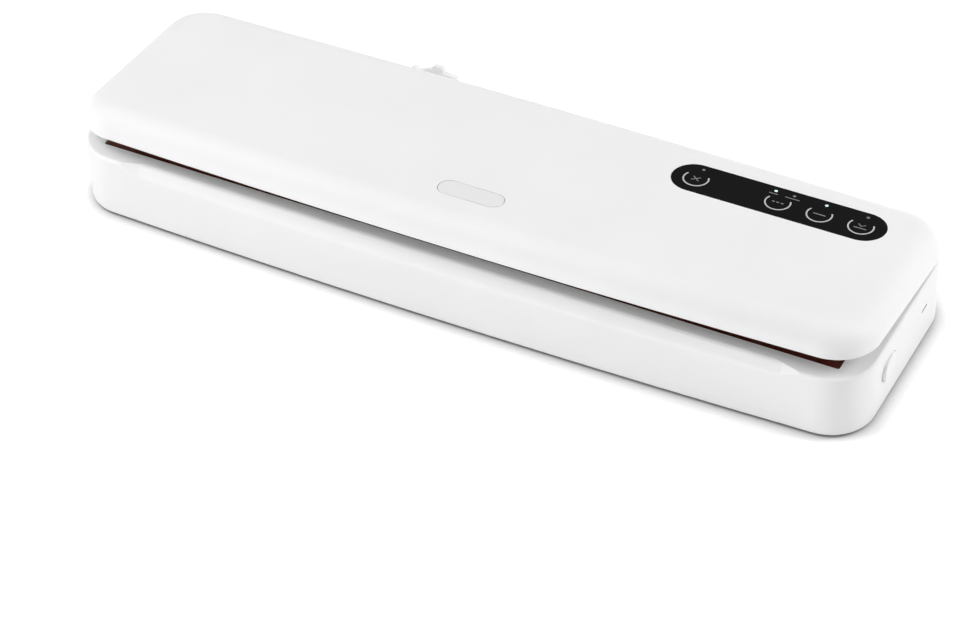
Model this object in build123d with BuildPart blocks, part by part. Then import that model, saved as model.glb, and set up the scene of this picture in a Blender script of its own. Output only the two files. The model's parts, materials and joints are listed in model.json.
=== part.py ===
"""Slim countertop vacuum sealer: base, hinged lid standing ajar, pump, heater, latches and bag cutter.

Millimetres, +X to the right, +Y to the back, +Z up. Plan sizes are measured from the middle of the housing.
"""
import os
from math import sqrt

from build123d import *

# Housing
LENGTH = 380.0
WIDTH = 110.9
CORNER_R = 20.4
FRONT_BOW = 3.6
REAR_BOW = 2.4
WALL = 2.4
FOOT_LIFT = 1.0
RIM = 32.4
RIM_ROUND = 1.6
BOTTOM_ROUND = 1.5
DECK = 2.4
BOTTOM_T = 2.0
FIT = 0.25
SMALL_ROUND = 0.6

# Finger bevel along the front edge of the base
BEVEL_END = 35.2
BEVEL_FLARE = 11.4
BEVEL_IN = 5.8
BEVEL_DROP = 4.0
BEVEL_REACH = 14.0
BEVEL_ROUND = 2.5

# Lid
SEAM = 0.4
LID_H = 12.6
LID_ROUND = 11.6
LID_WALL = 2.2
LIP_ROUND = 0.8
LID_AJAR = 5.2
LINER_UP = 1.4
LINER_T = 2.0
LINER_GAP = 0.9

# Hinge
HINGE_END = 28.0
HINGE_BACK = 4.0
HINGE_DROP = 1.4
KNUCKLE_R = 3.5
KNUCKLE_W = 8.0
KNUCKLE_ROOT = 1.2
KNUCKLE_UP = 0.2
EAR_W = 4.0
EAR_ROOT = 1.5
HINGE_SIDE_GAP = 0.3
PIN_R = 1.5
RUN_GAP = 0.05

# Vacuum channel and its gaskets
CHANNEL_END = 36.0
CHANNEL_IN = 26.45
CHANNEL_W = 22.0
CHANNEL_DEPTH = 8.4
CHANNEL_R = 5.0
GASKET_LAND = 1.2
GASKET_W = 4.0
GASKET_GROOVE = 2.2
GASKET_RISE = 1.3
GASKET_ROUND = 1.0
GASKET_HANG = 1.0
GASKET_HANG_ROUND = 0.8
LINER_GROOVE = 1.2

# Sealing bar
TAPE_END = 13.0
TAPE_IN = 12.25
TAPE_W = 7.2
TAPE_T = 0.25
BAR_T = 1.6
BAR_SIDE = 0.3
BAR_CORNER = 1.0
STRIP_T = 0.2
STRIP_W = 3.0
STRIP_INSET = 2.0
BAR_SINK = 3.0
TERMINAL_R = 1.5
TERMINAL_INSET = 4.0
TERMINAL_H = 8.0
PRESS_W = 6.0
PRESS_GAP = 0.3
PRESS_GROOVE = 1.0

# Side release buttons and lid hooks
BUTTON_IN = 37.05
BUTTON_Z = 19.0
BUTTON_L = 15.0
BUTTON_H = 9.6
BUTTON_OUT = 1.6
BUTTON_TILT = 1.4
BUTTON_ROUND = 0.4
BUTTON_LIP = 1.6
BUTTON_PLATE = 2.4
PLATE_GAP = 0.3
HOOK_END = 18.0
HOOK_T = 2.4
HOOK_W = 10.0
HOOK_NOSE = 2.0
HOOK_NOSE_H = 3.4
HOOK_NOSE_FLAT = 1.2
CATCH_TOP = 27.0
CATCH_T = 2.0
CATCH_W = 3.4
CATCH_BITE = 1.1
CATCH_CLEAR = 0.2
ARM_W = 1.6
SLOT_GAP = 1.2
SPRING_POST_T = 2.0
SPRING_POST_GAP = 1.4
SPRING_POST_W = 8.0
SPRING_R = 3.2
SPRING_WIRE = 0.45
SPRING_TURNS = 5

# Exhaust slit in the right side
SLIT_IN = 34.2
SLIT_Z = 19.6
SLIT_L = 6.4
SLIT_H = 1.5

# Screws and feet, placed from the ends and from the front and rear edges
SCREW_R = 1.25
SCREW_HEAD_R = 2.5
SCREW_HEAD_H = 1.2
SCREW_L = 9.0
SCREW_HOLE = 0.2
BOSS_R = 3.4
COVER_SCREW_END = 50.0
COVER_SCREW_FRONT = 9.6
COVER_SCREW_REAR = 11.45
LID_SCREW_L = 7.0
LID_SCREW_END = 60.0
LID_SCREW_FRONT = 10.0
LID_SCREW_REAR = 15.05
FOOT_R = 7.0
FOOT_SINK = 0.8
FOOT_END = 30.0
FOOT_FRONT = 19.45
FOOT_REAR = 21.45

# Pump
PUMP_IN = 29.45
PUMP_Z = 15.4
MOTOR_END = 114.0
MOTOR_R = 12.2
MOTOR_L = 38.0
MOTOR_CHAMFER = 0.8
MOTOR_NOSE_R = 5.0
MOTOR_NOSE = 1.6
SHAFT_R = 1.15
SHAFT_IN = 8.0
SHAFT_HOLE = 1.0
CRANK_R = 4.6
CRANK_T = 5.0
CRANK_OFF = 1.5
PUMP_L = 24.0
PUMP_W = 25.0
PUMP_CORNER = 1.5
PUMP_BORE_R = 8.6
PUMP_BORE_END = 1.0
PUMP_WALL = 3.0
PUMP_ROOF = 0.7
PUMP_FOOT = 1.5
DIAPHRAGM_R = 10.5
DIAPHRAGM_T = 1.4
YOKE_T = 3.0
YOKE_RING = 1.3
YOKE_GAP = 0.35
STEM_R = 2.2
PUMP_COVER_H = 4.6
BARB_UP = 2.0
BARB_R = 2.0
BARB_BORE = 1.0
HOSE_WALL = 0.8
HOSE_GRIP = 0.38
CRADLE_L = 22.0
CRADLE_W = 22.0
CRADLE_DROP = 4.8
AIR_SLOT_L = 8.0
AIR_SLOT_W = 2.0
AIR_SLOT_STEP_X = 9.0
AIR_SLOT_STEP_Y = 12.0
AIR_SLOT_COLUMNS = 5

# Boards and mains inlet in the base
BOARD_END = 58.0
BOARD_L = 114.0
BOARD_IN = 16.45
BOARD_GAP = 6.4
BOARD_T = 1.6
BOARD_UP = 5.0
POST_R = 2.6
POST_IN = 5.0
CORE_SIZE = (26.0, 22.0, 9.0)
COIL_SIZE = (15.0, 19.0, 15.0)
TRANSFORMER_AT = (30.0, -1.0)
CAPACITORS_AT = [(56.0, -8.0), (68.0, -8.0), (56.0, 6.0)]
CAPACITOR_R = 4.6
CAPACITOR_H = 13.0
SINK_AT = (90.0, -7.0)
SINK_L = 24.0
SINK_BASE = 2.0
SINK_FIN_T = 1.2
SINK_FIN_H = 9.0
SINK_FINS = 5
SINK_W = 12.0
INLET_END = 80.0
INLET_Z = 17.0
INLET_W = 20.0
INLET_H = 12.4
INLET_L = 17.0
INLET_R = 4.3
INLET_PITCH = 6.4
INLET_DEPTH = 12.0
INLET_PIN_R = 1.2
INLET_PIN_PITCH = 8.6
INLET_PIN_L = 9.5
INLET_TAIL = 4.0
INLET_FLANGE = 1.6
INLET_CORNER = 2.0
WIRE_R = 0.8
WIRE_BEND = 6.0
WIRE_SPREAD = 3.0
WIRE_UP = 5.0
WIRE_ON = 8.0
WIRE_OFF = 18.0

# Control panel in the lid
PANEL_END = 21.8
PANEL_IN = 28.75
PANEL_L = 98.9
PANEL_W = 21.0
PANEL_T = 1.4
PANEL_GAP = 0.12
PANEL_LEDGE = 1.6
LIGHTS_BACK = 7.3
LIGHTS_ON_SHARES = [0.459, 0.697]
LIGHTS_OFF_SHARES = [0.115, 0.546, 0.89]
LIGHT_R = 0.75
LIGHT_GAP = 0.02
KEY_SHARES = [0.112, 0.4995, 0.694, 0.887]
KEYS_FORWARD = 0.4
KEY_SPRING_R = 3.0
KEY_SPRING_WALL = 0.6
LID_BOARD_W = 20.0
LID_BOARD_SHORT = 2.9
LID_BOARD_T = 1.2
LID_BOARD_DROP = 2.2
LID_POST_R = 1.2
LID_POST_IN = 0.9

# Vent button in the lid
VENT_IN = 25.35
VENT_L = 30.9
VENT_W = 10.3
VENT_PROUD = 0.15
VENT_ROUND = 0.4
VENT_GAP = 0.3
VENT_FLANGE = 1.6
VENT_FLANGE_T = 1.4
VENT_CEILING = 0.3
VENT_STEM_OFF = 4.9
VENT_STEM_R = 1.2
VENT_HOLE = 0.4
VENT_SEAL_R = 2.3
VENT_SEAL_T = 1.0
VENT_SEAL_GAP = 0.1
VENT_SPRING_OFF = 1.5
VENT_SPRING_R = 3.6
VENT_SPRING_WIRE = 0.4
VENT_SPRING_TURNS = 4

# Bag cutter on the back of the lid
RAIL_STOP_END = 40.0
RAIL_END = 5.0
RAIL_IN = 10.85
RAIL_W = 5.0
RAIL_H = 4.6
RAIL_WALL = 1.2
RAIL_SLOT = 1.4
SLIDE_GAP = 0.15
CUTTER_END = 125.6
CUTTER_L = 25.4
CUTTER_OFF = 0.6
CUTTER_T = 2.6
CUTTER_DOWN = 1.5
CUTTER_UP = 1.0
CUTTER_ROUND = 0.6
CUTTER_JOIN = 0.2
TOWER_OFF = 3.5
TOWER_W = 5.9
TOWER_UP = 6.5
TOWER_ROUND = 1.4
BUMP_OFF = 8.3
BUMP_R = 2.6
BUMP_RISE = 1.9
RAMP_OFF = 9.7
RAMP_UP = 3.4
STEP_UP = 2.3
BLADE_T = 0.5
BLADE_L = 9.0
BLADE_DROP = 2.2
BLADE_SINK = 1.0
BLADE_SHOULDER = 0.2
FOOT_RAIL_L = 20.0

# Places that follow from the sizes above: along the length from the ends
HALF_L = LENGTH / 2
BEVEL_X = HALF_L - BEVEL_END
HINGE_X = HALF_L - HINGE_END
CHANNEL_X = HALF_L - CHANNEL_END
TAPE_X = HALF_L - TAPE_END
HOOK_X = HALF_L - HOOK_END
MOTOR_X = MOTOR_END - HALF_L
PUMP_MID_X = MOTOR_X - PUMP_L / 2
BOARD_X1 = HALF_L - BOARD_END
BOARD_X0 = BOARD_X1 - BOARD_L
INLET_X = HALF_L - INLET_END
PANEL_X1 = HALF_L - PANEL_END
PANEL_X0 = PANEL_X1 - PANEL_L
PANEL_X = (PANEL_X0 + PANEL_X1) / 2
LID_BOARD_L = PANEL_L - LID_BOARD_SHORT
LIGHTS_ON = [PANEL_X0 + share * PANEL_L for share in LIGHTS_ON_SHARES]
LIGHTS_OFF = [PANEL_X0 + share * PANEL_L for share in LIGHTS_OFF_SHARES]
KEYS = [PANEL_X0 + share * PANEL_L for share in KEY_SHARES]
RAIL_X = HALF_L - RAIL_STOP_END
CUTTER_X = CUTTER_END - HALF_L
TOWER_X = CUTTER_X + TOWER_OFF
BUMP_X = CUTTER_X - BUMP_OFF
WALL_IN = HALF_L - WALL

# Places across the width, from the front and rear edges
HALF_W = WIDTH / 2
PLAN_Y = -(HINGE_BACK + KNUCKLE_R) / 2
HINGE_Y = HALF_W + HINGE_BACK
BEVEL_BACK = HALF_W - BEVEL_IN
TAPE_FRONT = TAPE_IN - HALF_W
TAPE_Y = TAPE_FRONT + TAPE_W / 2
CHANNEL_FRONT = CHANNEL_IN - HALF_W
CHANNEL_REAR = CHANNEL_FRONT + CHANNEL_W
CHANNEL_Y = (CHANNEL_FRONT + CHANNEL_REAR) / 2
GASKET_OUT = GASKET_LAND + GASKET_W
GASKET_REAR = CHANNEL_REAR + GASKET_OUT
GASKET_END = CHANNEL_X + GASKET_OUT
BAY_FRONT = GASKET_REAR + DECK
BAY_END = GASKET_END + DECK
BEAM_BACK = TAPE_FRONT + TAPE_W - DECK
BUTTON_Y = BUTTON_IN - HALF_W
SLIT_Y = HALF_W - SLIT_IN
PUMP_Y = HALF_W - PUMP_IN
PUMP_FRONT = PUMP_Y - PUMP_W / 2
HOSE_L = PUMP_FRONT - BAY_FRONT
BARB_L = HOSE_GRIP * HOSE_L
BOARD_Y0 = BAY_FRONT + BOARD_GAP
BOARD_Y1 = HALF_W - BOARD_IN
BOARD_Y = (BOARD_Y0 + BOARD_Y1) / 2
PANEL_Y = HALF_W - PANEL_IN
LIGHT_Y = PANEL_Y + LIGHTS_BACK
KEY_Y = PANEL_Y - KEYS_FORWARD
VENT_Y = VENT_IN - HALF_W
VENT_STEM_Y = VENT_Y + VENT_STEM_OFF
RAIL_FRONT = HALF_W - RAIL_IN

# Places up the height
HINGE_Z = RIM - HINGE_DROP
LIP = RIM + SEAM
LID_TOP = LIP + LID_H
CEILING = LID_TOP - LID_WALL
LINER_LOW = LIP + LINER_UP
LINER_TOP = LINER_LOW + LINER_T
DECK_UNDER = RIM - DECK
CHANNEL_FLOOR = RIM - CHANNEL_DEPTH
LOW_CEILING = CHANNEL_FLOOR - DECK
COVER_TOP = FOOT_LIFT + BOTTOM_T
BAR_FLOOR = RIM - BAR_SINK
BEAM_CEILING = BAR_FLOOR - DECK
BOARD_LOW = COVER_TOP + BOARD_UP
BOARD_TOP = BOARD_LOW + BOARD_T
PUMP_CASE_LOW = PUMP_Z - PUMP_BORE_R - PUMP_WALL
PUMP_CASE_TOP = PUMP_Z + PUMP_BORE_R + PUMP_ROOF
NOZZLE_Z = PUMP_CASE_TOP + BARB_UP
CATCH_LOW = CATCH_TOP - CATCH_T
HOOK_TIP = CATCH_LOW - CATCH_CLEAR - HOOK_NOSE_H
RAIL_MID_Z = LINER_LOW + RAIL_H / 2
CUTTER_LOW = RAIL_MID_Z - CUTTER_DOWN
CUTTER_TOP = RAIL_MID_Z + CUTTER_UP
TOWER_TOP = RAIL_MID_Z + TOWER_UP
PANEL_LOW = LID_TOP - PANEL_T
LID_BOARD_TOP = PANEL_LOW - PANEL_LEDGE - LID_BOARD_DROP
VENT_FLANGE_TOP = CEILING - VENT_CEILING
VENT_FLANGE_LOW = VENT_FLANGE_TOP - VENT_FLANGE_T

# Rows of fasteners, feet and parts on the board
ROW_X = HALF_L - COVER_SCREW_END
ROW_YS = (COVER_SCREW_FRONT - HALF_W, HALF_W - COVER_SCREW_REAR)
COVER_SCREWS = [(x, y) for y in ROW_YS for x in (-ROW_X, 0, ROW_X)]
LID_ROW_X = HALF_L - LID_SCREW_END
LID_ROW_YS = (LID_SCREW_FRONT - HALF_W, HALF_W - LID_SCREW_REAR)
LID_SCREWS = [(x, y) for y in LID_ROW_YS for x in (-LID_ROW_X, 0, LID_ROW_X)]
FOOT_XS = (FOOT_END - HALF_L, HALF_L - FOOT_END)
FEET = [(x, y) for y in (FOOT_FRONT - HALF_W, HALF_W - FOOT_REAR) for x in FOOT_XS]
TRANSFORMER_XY = (BOARD_X0 + TRANSFORMER_AT[0], BOARD_Y + TRANSFORMER_AT[1])
CAPACITORS = [(BOARD_X0 + x, BOARD_Y + y) for x, y in CAPACITORS_AT]
SINK_XY = (BOARD_X0 + SINK_AT[0], BOARD_Y + SINK_AT[1])

# The base stands level. The lid's frame is the same frame, turned open about the hinge.
BASE = Plane((0, PLAN_Y, 0))
TURNED = Plane((0, PLAN_Y + HINGE_Y, HINGE_Z)).rotated((-LID_AJAR, 0, 0))
LID = Plane(
    origin=TURNED.from_local_coords(Vector(0, -HINGE_Y, -HINGE_Z)),
    x_dir=TURNED.x_dir,
    z_dir=TURNED.z_dir,
)


def level(frame, height):
    """Plane parallel to the frame's floor."""
    return frame.offset(height)


def section(frame, x):
    """Plane across the length: sketch x runs to the back, sketch y runs up, extrusion runs to +X."""
    return Plane(origin=frame.from_local_coords(Vector(x, 0, 0)), x_dir=frame.y_dir, z_dir=frame.x_dir)


def facing(frame, y):
    """Plane seen from the front: sketch x runs right, sketch y runs up, extrusion runs to the front."""
    return Plane(origin=frame.from_local_coords(Vector(0, y, 0)), x_dir=frame.x_dir, z_dir=-frame.y_dir)


def bow_y(x, bow):
    """How far a bowed long side is drawn in at x."""
    radius = (HALF_L**2 + bow**2) / (2 * bow)
    return radius - sqrt(radius**2 - x**2)


def plan(inset=0.0):
    """The housing's plan: a rectangle with bowed long sides and round corners, drawn in by inset."""
    front = -HALF_W + FRONT_BOW
    rear = HALF_W - REAR_BOW
    with BuildSketch() as outline:
        with BuildLine():
            ThreePointArc((-HALF_L, front), (0, -HALF_W), (HALF_L, front))
            Line((HALF_L, front), (HALF_L, rear))
            ThreePointArc((HALF_L, rear), (0, HALF_W), (-HALF_L, rear))
            Line((-HALF_L, rear), (-HALF_L, front))
        make_face()
        fillet(outline.vertices(), CORNER_R)
        if inset > 0:
            offset(amount=-inset, mode=Mode.REPLACE)
    return outline.sketch


def plan_between(inset, x0, x1, y0, y1):
    """The part of the drawn-in plan inside one rectangle."""
    with BuildSketch() as region:
        add(plan(inset))
        with Locations(((x0 + x1) / 2, (y0 + y1) / 2)):
            Rectangle(x1 - x0, y1 - y0, mode=Mode.INTERSECT)
    return region.sketch


def channel_plan(grow):
    """The vacuum channel's rounded rectangle, grown by a margin."""
    with BuildSketch() as outline:
        with Locations((0, CHANNEL_Y)):
            RectangleRounded(2 * (CHANNEL_X + grow), CHANNEL_W + 2 * grow, CHANNEL_R + grow)
    return outline.sketch


def gasket_plan(slack=0.0):
    """The ring that the gaskets fill, drawn in by slack on both sides."""
    with BuildSketch() as ring:
        add(channel_plan(GASKET_OUT - slack))
        add(channel_plan(GASKET_LAND + slack), mode=Mode.SUBTRACT)
    return ring.sketch


def pill(length, width):
    """A slot shape with round ends, given end to end."""
    with BuildSketch() as shape:
        SlotOverall(length, width)
    return shape.sketch


def screw_solid(frame, places, head_low, length):
    """Pan-head screws that stand on head_low and point up."""
    with BuildPart() as screws:
        with BuildSketch(level(frame, head_low)):
            with Locations(*places):
                Circle(SCREW_HEAD_R)
        extrude(amount=SCREW_HEAD_H)
        with BuildSketch(level(frame, head_low + SCREW_HEAD_H)):
            with Locations(*places):
                Circle(SCREW_R)
        extrude(amount=length)
    return screws.part


def coil_spring(plane, radius, wire, height, turns):
    """A compression spring that stands on a plane, its end turns inside the height."""
    rise = height - 2 * wire
    with BuildPart() as spring:
        with BuildLine():
            foot = plane.offset(wire).origin
            turns_line = Helix(rise / turns, rise, radius, center=foot, direction=plane.z_dir)
        with BuildSketch(Plane(turns_line @ 0, z_dir=turns_line % 0)):
            Circle(wire * 0.98)
        sweep(path=turns_line)
    return spring.part


os.makedirs("parts", exist_ok=True)


def write(part, name):
    """Label one finished piece and write its file."""
    part.label = name
    export_step(part, f"parts/{name}.step")


# Base shell: walls and deck in one moulding, open below
bevel_side = BEVEL_FLARE / (HALF_W - bow_y(BEVEL_X + BEVEL_FLARE, FRONT_BOW) - BEVEL_BACK)
bevel_far = HALF_W + BEVEL_REACH
bevel_front = HALF_W - bow_y(BEVEL_X, FRONT_BOW)
slot_in = HOOK_X - HOOK_T / 2 - HOOK_NOSE - SLOT_GAP
slot_out = HOOK_X + HOOK_T / 2 + SLOT_GAP - FIT
slot_w = HOOK_W + 2 * SLOT_GAP
post_x = HOOK_X + HOOK_T / 2 + SPRING_POST_GAP
ear_span = KNUCKLE_W + 2 * HINGE_SIDE_GAP
inlet_wall_y = HALF_W - bow_y(INLET_X, REAR_BOW)
with BuildPart() as base_shell:
    with BuildSketch(level(BASE, FOOT_LIFT)):
        add(plan())
    extrude(amount=RIM - FOOT_LIFT)
    fillet(base_shell.edges().group_by(Axis.Z)[-1], RIM_ROUND)
    fillet(base_shell.edges().group_by(Axis.Z)[0], BOTTOM_ROUND)
    # Finger bevel: a ruled cut from the bowed front face up to a straight edge on the deck
    with BuildSketch(level(BASE, RIM - BEVEL_DROP)):
        with BuildLine():
            low_far_x = BEVEL_X + bevel_side * (bevel_far - bevel_front)
            ThreePointArc((-BEVEL_X, -bevel_front), (0, -HALF_W), (BEVEL_X, -bevel_front))
            Line((BEVEL_X, -bevel_front), (low_far_x, -bevel_far))
            Line((low_far_x, -bevel_far), (-low_far_x, -bevel_far))
            Line((-low_far_x, -bevel_far), (-BEVEL_X, -bevel_front))
        make_face()
    with BuildSketch(level(BASE, RIM)):
        with BuildLine():
            top_far_x = BEVEL_X + bevel_side * (bevel_far - BEVEL_BACK)
            Line((-BEVEL_X, -BEVEL_BACK), (BEVEL_X, -BEVEL_BACK))
            Line((BEVEL_X, -BEVEL_BACK), (top_far_x, -bevel_far))
            Line((top_far_x, -bevel_far), (-top_far_x, -bevel_far))
            Line((-top_far_x, -bevel_far), (-BEVEL_X, -BEVEL_BACK))
        make_face()
    loft(ruled=True, mode=Mode.SUBTRACT)
    bevel_edges = []
    for height in (RIM - BEVEL_DROP, RIM):
        at_height = base_shell.edges().filter_by_position(Axis.Z, height - RUN_GAP, height + RUN_GAP)
        bevel_edges.append(at_height.sort_by(SortBy.LENGTH)[-2:].sort_by(Axis.Y)[0])
    fillet(bevel_edges, BEVEL_ROUND)
    # Inside: a low space over the whole plan, and taller bays at the back, the ends and in the front beam
    with BuildSketch(level(BASE, FOOT_LIFT)):
        add(plan(WALL))
    extrude(amount=LOW_CEILING - FOOT_LIFT, mode=Mode.SUBTRACT)
    with BuildSketch(level(BASE, LOW_CEILING)):
        add(plan_between(WALL, -HALF_L, HALF_L, BAY_FRONT, HALF_W))
        add(plan_between(WALL, BAY_END, HALF_L, CHANNEL_FRONT, BAY_FRONT))
        add(plan_between(WALL, -HALF_L, -BAY_END, CHANNEL_FRONT, BAY_FRONT))
    extrude(amount=DECK_UNDER - LOW_CEILING, mode=Mode.SUBTRACT)
    with BuildSketch(level(BASE, LOW_CEILING)):
        add(plan_between(WALL, -HALF_L, HALF_L, -HALF_W, BEAM_BACK))
    extrude(amount=BEAM_CEILING - LOW_CEILING, mode=Mode.SUBTRACT)
    # Deck: channel, gasket groove and heater groove
    with BuildSketch(level(BASE, RIM)):
        add(channel_plan(0))
    extrude(amount=-CHANNEL_DEPTH, mode=Mode.SUBTRACT)
    with BuildSketch(level(BASE, RIM)):
        add(gasket_plan())
    extrude(amount=-GASKET_GROOVE, mode=Mode.SUBTRACT)
    with BuildSketch(level(BASE, RIM)):
        with Locations((0, TAPE_Y)):
            RectangleRounded(2 * (TAPE_X + BAR_SIDE), TAPE_W + 2 * BAR_SIDE, BAR_CORNER)
    extrude(amount=-BAR_SINK, mode=Mode.SUBTRACT)
    with BuildSketch(level(BASE, BAR_FLOOR)):
        with Locations((-TAPE_X + TERMINAL_INSET, TAPE_Y), (TAPE_X - TERMINAL_INSET, TAPE_Y)):
            Circle(TERMINAL_R + FIT)
    extrude(amount=LOW_CEILING - BAR_FLOOR, mode=Mode.SUBTRACT)
    # Suction hole from the channel to the pump bay
    with BuildSketch(facing(BASE, BAY_FRONT)):
        with Locations((PUMP_MID_X, NOZZLE_Z)):
            Circle(BARB_R + RUN_GAP)
    extrude(amount=BAY_FRONT - CHANNEL_REAR, mode=Mode.SUBTRACT)
    # Latch slots in the deck, spring posts under it, and the button holes in the end walls
    for side in (-1, 1):
        with BuildSketch(level(BASE, RIM)):
            with Locations((side * (slot_in + slot_out) / 2, BUTTON_Y)):
                Rectangle(slot_out - slot_in, slot_w)
        extrude(amount=-2 * DECK, mode=Mode.SUBTRACT)
        with BuildSketch(level(BASE, BUTTON_Z - BUTTON_H / 2)):
            with Locations((side * (post_x + SPRING_POST_T / 2), BUTTON_Y)):
                Rectangle(SPRING_POST_T, SPRING_POST_W)
        extrude(amount=DECK_UNDER - BUTTON_Z + BUTTON_H / 2)
        with BuildSketch(section(BASE, side * (WALL_IN - WALL))):
            with Locations((BUTTON_Y, BUTTON_Z)):
                add(pill(BUTTON_L + 2 * FIT, BUTTON_H + 2 * FIT))
        extrude(amount=side * 3 * WALL, mode=Mode.SUBTRACT)
    with BuildSketch(section(BASE, WALL_IN - WALL)):
        with Locations((SLIT_Y, SLIT_Z)):
            add(pill(SLIT_L, SLIT_H))
    extrude(amount=3 * WALL, mode=Mode.SUBTRACT)
    # Mains inlet hole in the rear wall
    with BuildSketch(facing(BASE, HALF_W + WALL)):
        with Locations((INLET_X, INLET_Z)):
            Rectangle(INLET_W + FIT, INLET_H + FIT)
    extrude(amount=3 * WALL + REAR_BOW, mode=Mode.SUBTRACT)
    # Screw bosses down to the bottom cover
    for x, y in COVER_SCREWS:
        boss_top = BEAM_CEILING if y < 0 else DECK_UNDER
        with BuildSketch(level(BASE, COVER_TOP)):
            with Locations((x, y)):
                Circle(BOSS_R)
                Circle(SCREW_R + RUN_GAP, mode=Mode.SUBTRACT)
        extrude(amount=boss_top - COVER_TOP)
    # Hinge ears on the rear wall
    for side in (-1, 1):
        for step in (-1, 1):
            ear_x = side * HINGE_X + step * (ear_span + EAR_W) / 2
            with BuildSketch(section(BASE, ear_x - EAR_W / 2)):
                with Locations((HINGE_Y, HINGE_Z)):
                    Circle(KNUCKLE_R)
                ear_root = HALF_W - bow_y(abs(ear_x), REAR_BOW) - EAR_ROOT
                with Locations(((ear_root + HINGE_Y) / 2, HINGE_Z - KNUCKLE_R / 2)):
                    Rectangle(HINGE_Y - ear_root, KNUCKLE_R)
                with Locations((HINGE_Y, HINGE_Z)):
                    Circle(PIN_R + RUN_GAP, mode=Mode.SUBTRACT)
            extrude(amount=EAR_W)
write(base_shell.part, "base_shell")

# Bottom cover, screwed up inside the walls, with posts for the main board
board_posts = [
    (BOARD_X0 + POST_IN, BOARD_Y0 + POST_IN),
    (BOARD_X1 - POST_IN, BOARD_Y0 + POST_IN),
    (BOARD_X0 + POST_IN, BOARD_Y1 - POST_IN),
    (BOARD_X1 - POST_IN, BOARD_Y1 - POST_IN),
]
with BuildPart() as bottom_cover:
    with BuildSketch(level(BASE, FOOT_LIFT)):
        add(plan(WALL + FIT))
    extrude(amount=BOTTOM_T)
    with BuildSketch(level(BASE, FOOT_LIFT)):
        with Locations(*FEET):
            Circle(FOOT_R)
        with Locations(*COVER_SCREWS):
            Circle(SCREW_HEAD_R + FIT)
    extrude(amount=FOOT_SINK, mode=Mode.SUBTRACT)
    with BuildSketch(level(BASE, FOOT_LIFT)):
        with Locations(*COVER_SCREWS):
            Circle(SCREW_R + SCREW_HOLE)
    extrude(amount=BOTTOM_T, mode=Mode.SUBTRACT)
    with BuildSketch(level(BASE, FOOT_LIFT)):
        with Locations((MOTOR_X + MOTOR_L / 2, PUMP_Y)):
            with GridLocations(AIR_SLOT_STEP_X, AIR_SLOT_STEP_Y, AIR_SLOT_COLUMNS, 2):
                SlotOverall(AIR_SLOT_L, AIR_SLOT_W, rotation=90)
    extrude(amount=BOTTOM_T, mode=Mode.SUBTRACT)
    with BuildSketch(level(BASE, COVER_TOP)):
        with Locations(*board_posts):
            Circle(POST_R)
    extrude(amount=BOARD_UP)
write(bottom_cover.part, "bottom_cover")

with BuildPart() as rubber_feet:
    with BuildSketch(level(BASE, 0)):
        with Locations(*FEET):
            Circle(FOOT_R)
    extrude(amount=FOOT_LIFT + FOOT_SINK)
    fillet(rubber_feet.edges().group_by(Axis.Z)[0], SMALL_ROUND)
write(rubber_feet.part, "rubber_feet")

write(screw_solid(BASE, COVER_SCREWS, FOOT_LIFT + FOOT_SINK - SCREW_HEAD_H, SCREW_L), "cover_screws")

# Lower gasket, a soft ring standing in its groove
with BuildPart() as lower_gasket:
    with BuildSketch(level(BASE, RIM - GASKET_GROOVE)):
        add(gasket_plan(FIT))
    extrude(amount=GASKET_GROOVE + GASKET_RISE)
    fillet(lower_gasket.edges().group_by(Axis.Z)[-1], GASKET_ROUND)
write(lower_gasket.part, "lower_gasket")

# Sealing bar: insulating bar, heating strip and the covering tape
with BuildPart() as heater_bar:
    with BuildSketch(level(BASE, BAR_FLOOR)):
        with Locations((0, TAPE_Y)):
            Rectangle(2 * TAPE_X, TAPE_W)
        with Locations((-TAPE_X + TERMINAL_INSET, TAPE_Y), (TAPE_X - TERMINAL_INSET, TAPE_Y)):
            Circle(TERMINAL_R + FIT, mode=Mode.SUBTRACT)
    extrude(amount=BAR_T)
write(heater_bar.part, "heater_bar")

with BuildPart() as heating_strip:
    with BuildSketch(level(BASE, BAR_FLOOR + BAR_T)):
        with Locations((0, TAPE_Y)):
            Rectangle(2 * (TAPE_X - STRIP_INSET), STRIP_W)
    extrude(amount=STRIP_T)
write(heating_strip.part, "heating_strip")

with BuildPart() as seal_tape:
    with BuildSketch(level(BASE, BAR_FLOOR + BAR_T + STRIP_T)):
        with Locations((0, TAPE_Y)):
            Rectangle(2 * TAPE_X, TAPE_W)
    extrude(amount=TAPE_T)
write(seal_tape.part, "seal_tape")

terminal_xs = (-TAPE_X + TERMINAL_INSET, TAPE_X - TERMINAL_INSET)
with BuildPart() as heater_terminals:
    with BuildSketch(level(BASE, BAR_FLOOR + BAR_T)):
        with Locations(*[(x, TAPE_Y) for x in terminal_xs]):
            Circle(TERMINAL_R)
    extrude(amount=-TERMINAL_H)
write(heater_terminals.part, "heater_terminals")


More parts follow.
